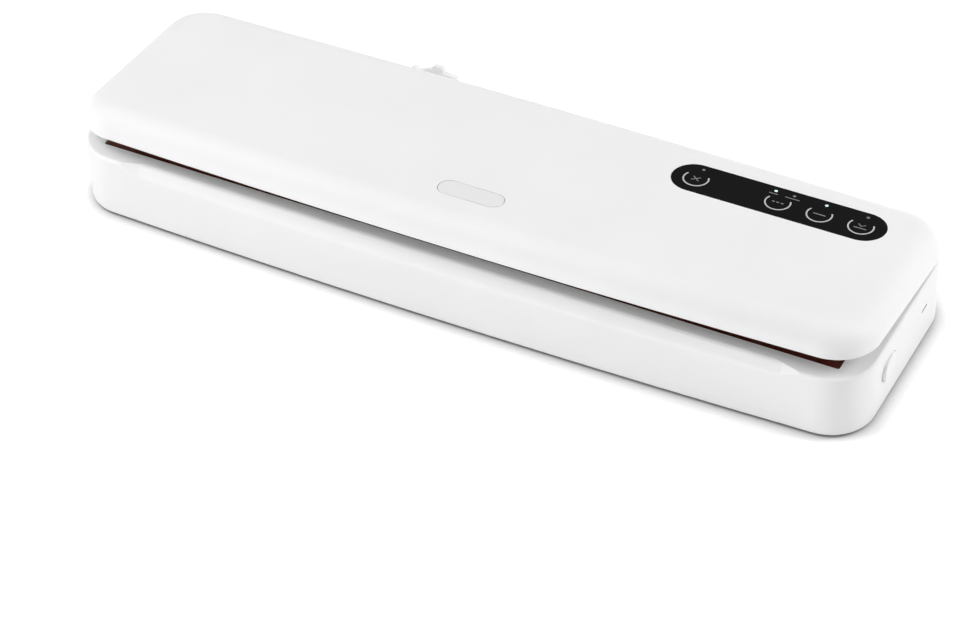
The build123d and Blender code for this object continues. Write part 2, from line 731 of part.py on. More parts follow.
# Release buttons: cap through the end wall, plate inside it, and a frame that reaches round the lid's hook
def release_button(side):
    """The button at one end: side is -1 at the left and 1 at the right."""
    plate_out = WALL_IN - PLATE_GAP
    plate_in = plate_out - BUTTON_PLATE
    plate_low = BUTTON_Z - BUTTON_H / 2 - BUTTON_LIP
    plate_l = BUTTON_L + 2 * BUTTON_LIP
    catch_out = HOOK_X - HOOK_T / 2 - HOOK_NOSE + CATCH_BITE
    catch_in = catch_out - CATCH_W
    arm_y = slot_w / 2 + ARM_W / 2
    with BuildPart() as button:
        with BuildSketch(section(BASE, side * plate_out)):
            with Locations((BUTTON_Y, BUTTON_Z)):
                add(pill(BUTTON_L, BUTTON_H))
        extrude(amount=side * (WALL + PLATE_GAP + BUTTON_OUT))
        # The cap stands proud at its front end and comes level with the wall at its back end
        wedge_x = side * (HALF_L + BUTTON_OUT)
        with BuildSketch(level(BASE, BUTTON_Z - BUTTON_H)):
            with BuildLine():
                Polyline(
                    (wedge_x, BUTTON_Y - BUTTON_L / 2),
                    (wedge_x - side * BUTTON_TILT, BUTTON_Y + BUTTON_L / 2),
                    (wedge_x + side * BUTTON_OUT, BUTTON_Y + BUTTON_L / 2),
                    (wedge_x + side * BUTTON_OUT, BUTTON_Y - BUTTON_L / 2),
                    close=True,
                )
            make_face()
        extrude(amount=2 * BUTTON_H, mode=Mode.SUBTRACT)
        fillet(button.faces().sort_by(Axis((0, 0, 0), (side, 0, 0)))[-1].edges(), BUTTON_ROUND)
        with BuildSketch(section(BASE, side * plate_in)):
            with Locations((BUTTON_Y, (plate_low + CATCH_TOP) / 2)):
                Rectangle(plate_l, CATCH_TOP - plate_low)
        extrude(amount=side * BUTTON_PLATE)
        with BuildSketch(level(BASE, CATCH_LOW)):
            with Locations(
                (side * (plate_in + catch_in) / 2, BUTTON_Y - arm_y),
                (side * (plate_in + catch_in) / 2, BUTTON_Y + arm_y),
            ):
                Rectangle(plate_in - catch_in, ARM_W)
            with Locations((side * (catch_in + catch_out) / 2, BUTTON_Y)):
                Rectangle(CATCH_W, 2 * arm_y + ARM_W)
        extrude(amount=CATCH_T)
    return button.part


spring_from = post_x + SPRING_POST_T
spring_to = WALL_IN - PLATE_GAP - BUTTON_PLATE
for side, end in ((-1, "left"), (1, "right")):
    write(release_button(side), f"release_button_{end}")
    foot_point = BASE.from_local_coords(Vector(side * spring_from, BUTTON_Y, BUTTON_Z))
    spring_foot = Plane(origin=foot_point, z_dir=(side, 0, 0))
    spring = coil_spring(spring_foot, SPRING_R, SPRING_WIRE, spring_to - spring_from, SPRING_TURNS)
    write(spring, f"release_spring_{end}")

# Pump: motor, cradle, crank, crankcase, diaphragm, cover, suction nozzle and hose
with BuildPart() as pump_motor:
    with BuildSketch(section(BASE, MOTOR_X)):
        with Locations((PUMP_Y, PUMP_Z)):
            Circle(MOTOR_R)
    extrude(amount=MOTOR_L)
    chamfer(pump_motor.edges().filter_by(GeomType.CIRCLE), MOTOR_CHAMFER)
    with BuildSketch(section(BASE, MOTOR_X + MOTOR_L)):
        with Locations((PUMP_Y, PUMP_Z)):
            Circle(MOTOR_NOSE_R)
    extrude(amount=MOTOR_NOSE)
    with BuildSketch(section(BASE, MOTOR_X)):
        with Locations((PUMP_Y, PUMP_Z)):
            Circle(SHAFT_R + RUN_GAP)
    extrude(amount=SHAFT_IN + SHAFT_HOLE, mode=Mode.SUBTRACT)
write(pump_motor.part, "pump_motor")

cradle_x = MOTOR_X + MOTOR_L / 2
with BuildPart() as motor_cradle:
    with BuildSketch(section(BASE, cradle_x - CRADLE_L / 2)):
        with Locations((PUMP_Y, (COVER_TOP + PUMP_Z) / 2)):
            Rectangle(CRADLE_W, PUMP_Z - COVER_TOP)
        with Locations((PUMP_Y, PUMP_Z)):
            Circle(MOTOR_R, mode=Mode.SUBTRACT)
            Rectangle(CRADLE_W, 2 * CRADLE_DROP, mode=Mode.SUBTRACT)
    extrude(amount=CRADLE_L)
write(motor_cradle.part, "motor_cradle")

crank_x = PUMP_MID_X - CRANK_T / 2
with BuildPart() as pump_crank:
    with BuildSketch(section(BASE, crank_x)):
        with Locations((PUMP_Y, PUMP_Z)):
            Circle(SHAFT_R)
    extrude(amount=MOTOR_X - crank_x + SHAFT_IN)
    with BuildSketch(section(BASE, crank_x)):
        with Locations((PUMP_Y, PUMP_Z + CRANK_OFF)):
            Circle(CRANK_R)
    extrude(amount=CRANK_T)
write(pump_crank.part, "pump_crank")

with BuildPart() as pump_head:
    with BuildSketch(section(BASE, MOTOR_X - PUMP_L)):
        with Locations((PUMP_Y, (PUMP_CASE_LOW + PUMP_CASE_TOP) / 2)):
            RectangleRounded(PUMP_W, PUMP_CASE_TOP - PUMP_CASE_LOW, PUMP_CORNER)
    extrude(amount=PUMP_L)
    with BuildSketch(section(BASE, crank_x - PUMP_BORE_END)):
        with Locations((PUMP_Y, PUMP_Z)):
            Circle(PUMP_BORE_R)
    extrude(amount=MOTOR_X - crank_x + PUMP_BORE_END, mode=Mode.SUBTRACT)
    with BuildSketch(level(BASE, PUMP_Z)):
        with Locations((crank_x + CRANK_T / 2, PUMP_Y)):
            Circle(STEM_R + 2 * FIT)
    extrude(amount=PUMP_CASE_TOP - PUMP_Z, mode=Mode.SUBTRACT)
    with BuildSketch(level(BASE, COVER_TOP)):
        with Locations((PUMP_MID_X, PUMP_Y)):
            Rectangle(PUMP_L, PUMP_W)
    extrude(amount=PUMP_CASE_LOW - COVER_TOP + PUMP_FOOT)
write(pump_head.part, "pump_head")

yoke_in = CRANK_R + CRANK_OFF + YOKE_GAP
yoke_x = crank_x + (CRANK_T - YOKE_T) / 2
with BuildPart() as pump_diaphragm:
    with BuildSketch(level(BASE, PUMP_CASE_TOP)):
        with Locations((yoke_x + YOKE_T / 2, PUMP_Y)):
            Circle(DIAPHRAGM_R)
    extrude(amount=DIAPHRAGM_T)
    with BuildSketch(level(BASE, PUMP_Z + yoke_in)):
        with Locations((yoke_x + YOKE_T / 2, PUMP_Y)):
            Rectangle(YOKE_T, 2 * STEM_R - YOKE_RING)
    extrude(amount=PUMP_CASE_TOP - PUMP_Z - yoke_in)
    with BuildSketch(section(BASE, yoke_x)):
        with Locations((PUMP_Y, PUMP_Z)):
            Circle(yoke_in + YOKE_RING)
            Circle(yoke_in, mode=Mode.SUBTRACT)
    extrude(amount=YOKE_T)
write(pump_diaphragm.part, "pump_diaphragm")

with BuildPart() as pump_cover:
    with BuildSketch(level(BASE, PUMP_CASE_TOP)):
        with Locations((PUMP_MID_X, PUMP_Y)):
            RectangleRounded(PUMP_L, PUMP_W, PUMP_CORNER)
    extrude(amount=PUMP_COVER_H)
    with BuildSketch(level(BASE, PUMP_CASE_TOP)):
        with Locations((yoke_x + YOKE_T / 2, PUMP_Y)):
            Circle(DIAPHRAGM_R + FIT)
    extrude(amount=DIAPHRAGM_T + FIT, mode=Mode.SUBTRACT)
    with BuildSketch(facing(BASE, PUMP_FRONT)):
        with Locations((PUMP_MID_X, NOZZLE_Z)):
            Circle(BARB_R)
    extrude(amount=BARB_L)
    with BuildSketch(facing(BASE, PUMP_FRONT + 3 * BARB_BORE)):
        with Locations((PUMP_MID_X, NOZZLE_Z)):
            Circle(BARB_BORE)
    extrude(amount=BARB_L + 3 * BARB_BORE, mode=Mode.SUBTRACT)
write(pump_cover.part, "pump_cover")

nozzle_back = BAY_FRONT + BARB_L
with BuildPart() as suction_nozzle:
    with BuildSketch(facing(BASE, nozzle_back)):
        with Locations((PUMP_MID_X, NOZZLE_Z)):
            Circle(BARB_R)
            Circle(BARB_BORE, mode=Mode.SUBTRACT)
    extrude(amount=nozzle_back - CHANNEL_REAR)
write(suction_nozzle.part, "suction_nozzle")

with BuildPart() as vacuum_hose:
    with BuildSketch(facing(BASE, PUMP_FRONT)):
        with Locations((PUMP_MID_X, NOZZLE_Z)):
            Circle(BARB_R + HOSE_WALL)
            Circle(BARB_R, mode=Mode.SUBTRACT)
    extrude(amount=HOSE_L)
write(vacuum_hose.part, "vacuum_hose")

# Main board and what stands on it
with BuildPart() as main_board:
    with BuildSketch(level(BASE, BOARD_LOW)):
        with Locations((BOARD_X0 + BOARD_L / 2, BOARD_Y)):
            Rectangle(BOARD_L, BOARD_Y1 - BOARD_Y0)
    extrude(amount=BOARD_T)
write(main_board.part, "main_board")

with BuildPart() as transformer:
    with BuildSketch(level(BASE, BOARD_TOP)):
        with Locations(TRANSFORMER_XY):
            Rectangle(COIL_SIZE[0], COIL_SIZE[1])
    extrude(amount=COIL_SIZE[2])
    with BuildSketch(level(BASE, BOARD_TOP + (COIL_SIZE[2] - CORE_SIZE[2]) / 2)):
        with Locations(TRANSFORMER_XY):
            Rectangle(CORE_SIZE[0], CORE_SIZE[1])
    extrude(amount=CORE_SIZE[2])
write(transformer.part, "transformer")

with BuildPart() as capacitors:
    with BuildSketch(level(BASE, BOARD_TOP)):
        with Locations(*CAPACITORS):
            Circle(CAPACITOR_R)
    extrude(amount=CAPACITOR_H)
    fillet(capacitors.edges().group_by(Axis.Z)[-1], SMALL_ROUND)
write(capacitors.part, "capacitors")

with BuildPart() as heat_sink:
    with BuildSketch(level(BASE, BOARD_TOP)):
        with Locations(SINK_XY):
            Rectangle(SINK_L, SINK_W)
    extrude(amount=SINK_BASE)
    with BuildSketch(level(BASE, BOARD_TOP + SINK_BASE)):
        with Locations(SINK_XY):
            with GridLocations((SINK_L - SINK_FIN_T) / (SINK_FINS - 1), SINK_W, SINK_FINS, 1):
                Rectangle(SINK_FIN_T, SINK_W)
    extrude(amount=SINK_FIN_H)
write(heat_sink.part, "heat_sink")

# Mains inlet: a figure-eight socket set in the rear wall
inlet_back = inlet_wall_y + INLET_FLANGE
with BuildPart() as power_inlet:
    with BuildSketch(facing(BASE, inlet_wall_y)):
        with Locations((INLET_X, INLET_Z)):
            Rectangle(INLET_W, INLET_H)
    extrude(amount=INLET_L)
    with BuildSketch(facing(BASE, inlet_back)):
        with Locations((INLET_X, INLET_Z)):
            RectangleRounded(INLET_W + 2 * INLET_FLANGE, INLET_H + 2 * INLET_FLANGE, INLET_CORNER)
    extrude(amount=INLET_FLANGE - FIT)
    with BuildSketch(facing(BASE, inlet_wall_y)):
        with Locations((INLET_X, INLET_Z)):
            Rectangle(INLET_W, INLET_H)
    extrude(amount=-FIT)
    with BuildSketch(facing(BASE, inlet_back)):
        with Locations((INLET_X, INLET_Z)):
            SlotCenterToCenter(INLET_PITCH, 2 * INLET_R)
    extrude(amount=INLET_DEPTH, mode=Mode.SUBTRACT)
    inlet_floor = inlet_back - INLET_DEPTH
    with BuildSketch(facing(BASE, inlet_floor)):
        with Locations((INLET_X - INLET_PIN_PITCH / 2, INLET_Z), (INLET_X + INLET_PIN_PITCH / 2, INLET_Z)):
            Circle(INLET_PIN_R)
    extrude(amount=INLET_L, mode=Mode.SUBTRACT)
write(power_inlet.part, "power_inlet")

pin_front = inlet_wall_y - INLET_L - INLET_TAIL
with BuildPart() as inlet_pins:
    with BuildSketch(facing(BASE, inlet_floor + INLET_PIN_L)):
        with Locations((INLET_X - INLET_PIN_PITCH / 2, INLET_Z), (INLET_X + INLET_PIN_PITCH / 2, INLET_Z)):
            Circle(INLET_PIN_R)
    extrude(amount=inlet_floor + INLET_PIN_L - pin_front)
write(inlet_pins.part, "inlet_pins")


# Wires inside the base, each laid along a few straight runs with round bends
def wire(*points):
    """One insulated wire along plan points of the base."""
    route = [BASE.from_local_coords(Vector(*p)) for p in points]
    with BuildPart() as run:
        with BuildLine():
            line = FilletPolyline(*route, radius=WIRE_BEND)
        with BuildSketch(Plane(line @ 0, z_dir=line % 0)):
            Circle(WIRE_R)
        sweep(path=line)
    return run.part


motor_back = MOTOR_X + MOTOR_L + MOTOR_NOSE
wire_top = BOARD_TOP + WIRE_R
terminal_low = BAR_FLOOR + BAR_T - TERMINAL_H
wire_low = COVER_TOP + WIRE_UP
wire_gap = BOARD_X0 - motor_back
right_y = BOARD_Y - WIRE_SPREAD
left_y = BOARD_Y0 + WIRE_SPREAD + WIRE_R
wires = []
# Two leads from the motor's back end up on to the board
for hand in (-1, 1):
    lead_y = PUMP_Y + hand * WIRE_SPREAD
    board_y = BOARD_Y + hand * WIRE_SPREAD
    wires.append(
        wire(
            (motor_back, lead_y, PUMP_Z),
            (motor_back + wire_gap / 3, lead_y, PUMP_Z),
            (BOARD_X0 - wire_gap / 3, board_y, wire_top),
            (BOARD_X0 + WIRE_ON, board_y, wire_top),
        )
    )
# One lead from each end of the board to the heater terminal at that end
heater_leads = ((BOARD_X1, 1, right_y, terminal_xs[1]), (BOARD_X0, -1, left_y, terminal_xs[0]))
for board_x, step, y, terminal_x in heater_leads:
    turn_x = board_x + step * WIRE_OFF
    wires.append(
        wire(
            (board_x - step * WIRE_ON, y, wire_top),
            (turn_x, y, wire_top),
            (turn_x, TAPE_Y, wire_low),
            (terminal_x, TAPE_Y, wire_low),
            (terminal_x, TAPE_Y, terminal_low),
        )
    )
base_wires = Compound(children=wires)
write(base_wires, "base_wires")

with BuildPart() as hinge_pins:
    for side in (-1, 1):
        with BuildSketch(section(BASE, side * HINGE_X - ear_span / 2 - EAR_W)):
            with Locations((HINGE_Y, HINGE_Z)):
                Circle(PIN_R)
        extrude(amount=ear_span + 2 * EAR_W)
write(hinge_pins.part, "hinge_pins")

# Lid shell: one rounded moulding, open below
lid_up = Axis(LID.origin, LID.z_dir)
with BuildPart() as lid_hollow:
    with BuildSketch(level(LID, LIP)):
        add(plan(LID_WALL))
    extrude(amount=LID_H - LID_WALL)
    fillet(lid_hollow.faces().sort_by(lid_up)[-1].edges(), LID_ROUND - LID_WALL)

with BuildPart() as lid_shell:
    with BuildSketch(level(LID, LIP)):
        add(plan())
    extrude(amount=LID_H)
    fillet(lid_shell.faces().sort_by(lid_up)[-1].edges(), LID_ROUND)
    fillet(lid_shell.faces().sort_by(lid_up)[0].edges(), LIP_ROUND)
    add(lid_hollow.part, mode=Mode.SUBTRACT)
    # Bosses for the liner's screws
    with BuildSketch(level(LID, LINER_TOP)):
        with Locations(*LID_SCREWS):
            Circle(BOSS_R)
            Circle(SCREW_R + RUN_GAP, mode=Mode.SUBTRACT)
    extrude(amount=CEILING - LINER_TOP)
    # Panel recess with a ledge, and the ledge's own thickening below the ceiling
    with BuildSketch(level(LID, PANEL_LOW - PANEL_LEDGE)):
        with Locations((PANEL_X, PANEL_Y)):
            add(pill(PANEL_L + 2 * PANEL_LEDGE, PANEL_W + 2 * PANEL_LEDGE))
    extrude(amount=CEILING - PANEL_LOW + PANEL_LEDGE)
    with BuildSketch(level(LID, PANEL_LOW)):
        with Locations((PANEL_X, PANEL_Y)):
            add(pill(PANEL_L + 2 * PANEL_GAP, PANEL_W + 2 * PANEL_GAP))
    extrude(amount=PANEL_T, mode=Mode.SUBTRACT)
    with BuildSketch(level(LID, PANEL_LOW)):
        with Locations((PANEL_X, PANEL_Y)):
            add(pill(PANEL_L - 2 * PANEL_LEDGE, PANEL_W - 2 * PANEL_LEDGE))
    extrude(amount=-2 * PANEL_LEDGE, mode=Mode.SUBTRACT)
    # Posts for the control board
    with BuildSketch(level(LID, LID_BOARD_TOP)):
        with Locations((PANEL_X, PANEL_Y)):
            with GridLocations(LID_BOARD_L / 2, LID_BOARD_W - 2 * LID_POST_IN, 2, 2):
                Circle(LID_POST_R)
    extrude(amount=PANEL_LOW - PANEL_LEDGE - LID_BOARD_TOP)
    # Hole for the vent button
    with BuildSketch(level(LID, CEILING - LID_WALL)):
        with Locations((0, VENT_Y)):
            add(pill(VENT_L + 2 * VENT_GAP, VENT_W + 2 * VENT_GAP))
    extrude(amount=3 * LID_WALL, mode=Mode.SUBTRACT)
    # Cutter groove along the rear wall
    with BuildSketch(facing(LID, HALF_W + LID_WALL)):
        with Locations((0, RAIL_MID_Z)):
            Rectangle(2 * RAIL_X, RAIL_SLOT)
    extrude(amount=3 * LID_WALL + REAR_BOW, mode=Mode.SUBTRACT)
    # Hinge knuckles
    for side in (-1, 1):
        knuckle_root = HALF_W - bow_y(HINGE_X, REAR_BOW) - KNUCKLE_ROOT
        with BuildSketch(section(LID, side * HINGE_X - KNUCKLE_W / 2)):
            with Locations((HINGE_Y, HINGE_Z)):
                Circle(KNUCKLE_R)
            arm_low = LIP + KNUCKLE_UP
            arm_high = HINGE_Z + KNUCKLE_R
            with Locations(((knuckle_root + HINGE_Y) / 2, (arm_low + arm_high) / 2)):
                Rectangle(HINGE_Y - knuckle_root, arm_high - arm_low)
            with Locations((HINGE_Y, HINGE_Z)):
                Circle(PIN_R + RUN_GAP, mode=Mode.SUBTRACT)
        extrude(amount=KNUCKLE_W)
write(lid_shell.part, "lid_shell")

# Lid liner: the flat underside, with grooves for the upper gasket and the pressure strip
liner_inset = LID_WALL + LINER_GAP
with BuildPart() as lid_liner:
    with BuildSketch(level(LID, LINER_LOW)):
        add(plan_between(liner_inset, -HALF_L, HALF_L, -HALF_W, RAIL_FRONT))
    extrude(amount=LINER_T)
    with BuildSketch(level(LID, LINER_LOW)):
        add(gasket_plan())
    extrude(amount=LINER_GROOVE, mode=Mode.SUBTRACT)
    with BuildSketch(level(LID, LINER_LOW)):
        with Locations((0, TAPE_Y)):
            Rectangle(2 * TAPE_X, PRESS_W + 2 * FIT)
    extrude(amount=PRESS_GROOVE, mode=Mode.SUBTRACT)
    with BuildSketch(level(LID, LINER_LOW)):
        with Locations(*LID_SCREWS):
            Circle(SCREW_R + SCREW_HOLE)
        with Locations((0, VENT_STEM_Y)):
            Circle(VENT_STEM_R + VENT_HOLE)
    extrude(amount=LINER_T, mode=Mode.SUBTRACT)
write(lid_liner.part, "lid_liner")

write(screw_solid(LID, LID_SCREWS, LINER_LOW - SCREW_HEAD_H, LID_SCREW_L), "lid_screws")

with BuildPart() as upper_gasket:
    with BuildSketch(level(LID, LINER_LOW - GASKET_HANG)):
        add(gasket_plan(FIT))
    extrude(amount=GASKET_HANG + LINER_GROOVE)
    fillet(upper_gasket.faces().sort_by(lid_up)[0].edges(), GASKET_HANG_ROUND)
write(upper_gasket.part, "upper_gasket")

press_low = BAR_FLOOR + BAR_T + STRIP_T + TAPE_T + PRESS_GAP
with BuildPart() as pressure_strip:
    with BuildSketch(level(LID, press_low)):
        with Locations((0, TAPE_Y)):
            Rectangle(2 * (TAPE_X - FIT), PRESS_W)
    extrude(amount=LINER_LOW + PRESS_GROOVE - press_low)
write(pressure_strip.part, "pressure_strip")

# Control panel, its lights, and the board behind it
with BuildPart() as control_panel:
    with BuildSketch(level(LID, PANEL_LOW)):
        with Locations((PANEL_X, PANEL_Y)):
            add(pill(PANEL_L, PANEL_W))
        with Locations(*[(x, LIGHT_Y) for x in LIGHTS_ON + LIGHTS_OFF]):
            Circle(LIGHT_R + LIGHT_GAP, mode=Mode.SUBTRACT)
    extrude(amount=PANEL_T)
write(control_panel.part, "control_panel")

for lights, name in ((LIGHTS_ON, "panel_lights_on"), (LIGHTS_OFF, "panel_lights_off")):
    with BuildPart() as panel_lights:
        with BuildSketch(level(LID, LID_BOARD_TOP)):
            with Locations(*[(x, LIGHT_Y) for x in lights]):
                Circle(LIGHT_R)
        extrude(amount=LID_TOP - LID_BOARD_TOP)
    write(panel_lights.part, name)

with BuildPart() as control_board:
    with BuildSketch(level(LID, LID_BOARD_TOP - LID_BOARD_T)):
        with Locations((PANEL_X, PANEL_Y)):
            add(pill(LID_BOARD_L, LID_BOARD_W))
    extrude(amount=LID_BOARD_T)
write(control_board.part, "control_board")

with BuildPart() as touch_springs:
    with BuildSketch(level(LID, LID_BOARD_TOP)):
        with Locations(*[(x, KEY_Y) for x in KEYS]):
            Circle(KEY_SPRING_R)
            Circle(KEY_SPRING_R - KEY_SPRING_WALL, mode=Mode.SUBTRACT)
    extrude(amount=PANEL_LOW - LID_BOARD_TOP)
write(touch_springs.part, "touch_springs")

# Vent button: pill-shaped cap, flange under the lid, stem and seal that open the channel to the air
with BuildPart() as vent_button:
    with BuildSketch(level(LID, VENT_FLANGE_LOW)):
        with Locations((0, VENT_Y)):
            add(pill(VENT_L + 2 * VENT_FLANGE, VENT_W + 2 * VENT_FLANGE))
    extrude(amount=VENT_FLANGE_T)
    with BuildSketch(level(LID, VENT_FLANGE_TOP)):
        with Locations((0, VENT_Y)):
            add(pill(VENT_L, VENT_W))
    extrude(amount=LID_TOP + VENT_PROUD - VENT_FLANGE_TOP)
    fillet(vent_button.faces().sort_by(lid_up)[-1].edges(), VENT_ROUND)
    with BuildSketch(level(LID, VENT_FLANGE_LOW)):
        with Locations((0, VENT_STEM_Y)):
            Circle(VENT_STEM_R)
    extrude(amount=-(VENT_FLANGE_LOW - LINER_LOW + VENT_SEAL_GAP + VENT_SEAL_T))
write(vent_button.part, "vent_button")

with BuildPart() as vent_seal:
    with BuildSketch(level(LID, LINER_LOW - VENT_SEAL_GAP)):
        with Locations((0, VENT_STEM_Y)):
            Circle(VENT_SEAL_R)
            Circle(VENT_STEM_R, mode=Mode.SUBTRACT)
    extrude(amount=-VENT_SEAL_T)
write(vent_seal.part, "vent_seal")

vent_foot_point = LID.from_local_coords(Vector(0, VENT_Y - VENT_SPRING_OFF, LINER_TOP))
vent_foot = Plane(origin=vent_foot_point, x_dir=LID.x_dir, z_dir=LID.z_dir)
vent_spring_h = VENT_FLANGE_LOW - LINER_TOP
vent_spring = coil_spring(vent_foot, VENT_SPRING_R, VENT_SPRING_WIRE, vent_spring_h, VENT_SPRING_TURNS)
write(vent_spring, "vent_spring")

# Latch hooks: spring tongues under the liner, with a nose that points inwards
with BuildPart() as latch_hooks:
    for side in (-1, 1):
        shank_in = HOOK_X - HOOK_T / 2
        shank_out = HOOK_X + HOOK_T / 2
        with BuildSketch(facing(LID, BUTTON_Y + HOOK_W / 2)):
            with BuildLine():
                Polyline(
                    (side * shank_out, LINER_LOW),
                    (side * shank_out, HOOK_TIP),
                    (side * shank_in, HOOK_TIP),
                    (side * (shank_in - HOOK_NOSE), HOOK_TIP + HOOK_NOSE_H - HOOK_NOSE_FLAT),
                    (side * (shank_in - HOOK_NOSE), HOOK_TIP + HOOK_NOSE_H),
                    (side * shank_in, HOOK_TIP + HOOK_NOSE_H),
                    (side * shank_in, LINER_LOW),
                    close=True,
                )
            make_face()
        extrude(amount=HOOK_W)
write(latch_hooks.part, "latch_hooks")

# Bag cutter: a channel rail inside the lid's back edge, and a slider that reaches out through the groove
rail_back = RAIL_FRONT + RAIL_W
with BuildPart() as cutter_rail:
    with BuildSketch(section(LID, -RAIL_X - RAIL_END)):
        with Locations(((RAIL_FRONT + rail_back) / 2, RAIL_MID_Z)):
            Rectangle(RAIL_W, RAIL_H)
    extrude(amount=2 * (RAIL_X + RAIL_END))
    with BuildSketch(section(LID, -RAIL_X)):
        with Locations(((RAIL_FRONT + rail_back) / 2, RAIL_MID_Z)):
            Rectangle(RAIL_W - 2 * RAIL_WALL, RAIL_H - 2 * RAIL_WALL)
        with Locations((rail_back - RAIL_WALL, RAIL_MID_Z)):
            Rectangle(2 * RAIL_WALL, RAIL_SLOT)
    extrude(amount=2 * RAIL_X, mode=Mode.SUBTRACT)
write(cutter_rail.part, "cutter_rail")

foot_h = RAIL_H - 2 * RAIL_WALL - 2 * SLIDE_GAP
neck_h = RAIL_SLOT - 2 * SLIDE_GAP
cutter_front = HALF_W + CUTTER_OFF
cutter_back = cutter_front + CUTTER_T
foot_back = rail_back - RAIL_WALL - SLIDE_GAP
foot_front = RAIL_FRONT + RAIL_WALL + SLIDE_GAP
with BuildPart() as cutter_slider:
    with BuildSketch(section(LID, CUTTER_X - FOOT_RAIL_L / 2)):
        with Locations(((foot_front + foot_back) / 2, RAIL_MID_Z)):
            Rectangle(foot_back - foot_front, foot_h)
        with Locations(((foot_back + cutter_front) / 2, RAIL_MID_Z)):
            Rectangle(cutter_front - foot_back + 2 * CUTTER_JOIN, neck_h)
    extrude(amount=FOOT_RAIL_L)
    with BuildSketch(facing(LID, cutter_back)):
        with Locations((CUTTER_X, (CUTTER_LOW + CUTTER_TOP) / 2)):
            RectangleRounded(CUTTER_L, CUTTER_TOP - CUTTER_LOW, CUTTER_ROUND)
        with Locations((TOWER_X, (CUTTER_LOW + TOWER_TOP) / 2)):
            RectangleRounded(TOWER_W, TOWER_TOP - CUTTER_LOW, TOWER_ROUND)
        with Locations((BUMP_X, CUTTER_TOP + BUMP_RISE - BUMP_R)):
            Circle(BUMP_R)
        # The plate climbs to the tower and stays high beyond it
        with BuildLine():
            plate_end = CUTTER_X + CUTTER_L / 2
            Polyline(
                (TOWER_X - RAMP_OFF - TOWER_W / 2, CUTTER_TOP),
                (TOWER_X - TOWER_W / 2, CUTTER_TOP + RAMP_UP),
                (plate_end, CUTTER_TOP + STEP_UP),
                (plate_end, RAIL_MID_Z),
                (TOWER_X, RAIL_MID_Z),
                close=True,
            )
        make_face()
    extrude(amount=CUTTER_T)
    with BuildSketch(section(LID, CUTTER_X - BLADE_L / 2)):
        with Locations((cutter_back - CUTTER_T / 2, CUTTER_LOW)):
            Rectangle(BLADE_T, 2 * BLADE_SINK)
    extrude(amount=BLADE_L, mode=Mode.SUBTRACT)
write(cutter_slider.part, "cutter_slider")

with BuildPart() as cutter_blade:
    with BuildSketch(facing(LID, cutter_back - CUTTER_T / 2 + BLADE_T / 2)):
        with BuildLine():
            Polyline(
                (CUTTER_X - BLADE_L / 2, CUTTER_LOW + BLADE_SINK),
                (CUTTER_X + BLADE_L / 2, CUTTER_LOW + BLADE_SINK),
                (CUTTER_X + BLADE_L / 2, CUTTER_LOW - BLADE_SHOULDER),
                (CUTTER_X, CUTTER_LOW - BLADE_DROP),
                (CUTTER_X - BLADE_L / 2, CUTTER_LOW - BLADE_SHOULDER),
                close=True,
            )
        make_face()
    extrude(amount=BLADE_T)
write(cutter_blade.part, "cutter_blade")
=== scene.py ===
"""Looks of a slim countertop vacuum sealer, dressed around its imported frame.

Metres in the scene. Sizes of the object are written in millimetres in its plan frame: x to the right,
y to the back from the middle of the housing, z up from the table.
"""
import json
import math

import bmesh
import bpy
from mathutils import Matrix, Vector

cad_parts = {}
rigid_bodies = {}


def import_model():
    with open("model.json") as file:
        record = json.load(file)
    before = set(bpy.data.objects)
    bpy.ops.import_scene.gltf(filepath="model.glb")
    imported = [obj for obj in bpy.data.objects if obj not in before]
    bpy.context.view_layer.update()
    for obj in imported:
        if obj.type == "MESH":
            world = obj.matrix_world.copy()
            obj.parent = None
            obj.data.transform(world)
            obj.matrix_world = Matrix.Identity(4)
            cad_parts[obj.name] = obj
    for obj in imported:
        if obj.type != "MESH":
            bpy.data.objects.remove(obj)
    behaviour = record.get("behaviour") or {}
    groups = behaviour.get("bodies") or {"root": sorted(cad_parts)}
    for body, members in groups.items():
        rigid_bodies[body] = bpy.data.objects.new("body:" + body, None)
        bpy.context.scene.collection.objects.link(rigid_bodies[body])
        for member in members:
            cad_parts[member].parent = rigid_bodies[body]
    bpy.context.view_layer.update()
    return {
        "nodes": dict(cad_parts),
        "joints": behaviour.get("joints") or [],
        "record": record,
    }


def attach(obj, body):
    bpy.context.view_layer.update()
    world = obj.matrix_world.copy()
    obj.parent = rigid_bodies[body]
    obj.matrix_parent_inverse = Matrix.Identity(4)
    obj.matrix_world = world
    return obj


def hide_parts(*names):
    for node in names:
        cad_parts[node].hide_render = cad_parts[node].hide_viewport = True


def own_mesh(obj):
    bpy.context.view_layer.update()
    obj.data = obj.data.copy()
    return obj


MM = 0.001

# Housing, in millimetres
HALF_L = 190.0
HALF_W = 55.45
PLAN_Y = -3.75
LID_TOP = 45.4

# The lid's long rolls: side and bow of each, and how finely they are meshed
LID_ROUND = 11.6
LONG_ROLLS = ((1, 2.4), (-1, 3.6))
ROLL_STEP = 9.0
ROLL_ROUNDS = 5
ROLL_SLACK = 0.03
ROLL_WELD = 0.002
KEPT_NORMAL = "kept_normal"

# Vacuum channel gaskets: their ring, their D section and its unevenness
GASKET_MID_X = 157.2
GASKET_MID_Y = 14.2
GASKET_Y = -18.0
GASKET_BEND = 8.2
GASKET_BEND_STEPS = 12
GASKET_RUN_STEP = 12.0
GASKET_W = 3.4
GASKET_CROWN = 1.275
GASKET_CROWN_STEPS = 8
LOWER_GASKET_LOW = 30.22
LOWER_GASKET_TOP = 33.45
UPPER_GASKET_TOP = 35.38
UPPER_GASKET_LOW = 33.52
GASKET_WAVE = 0.05
GASKET_WAVE_STEP = 1.7

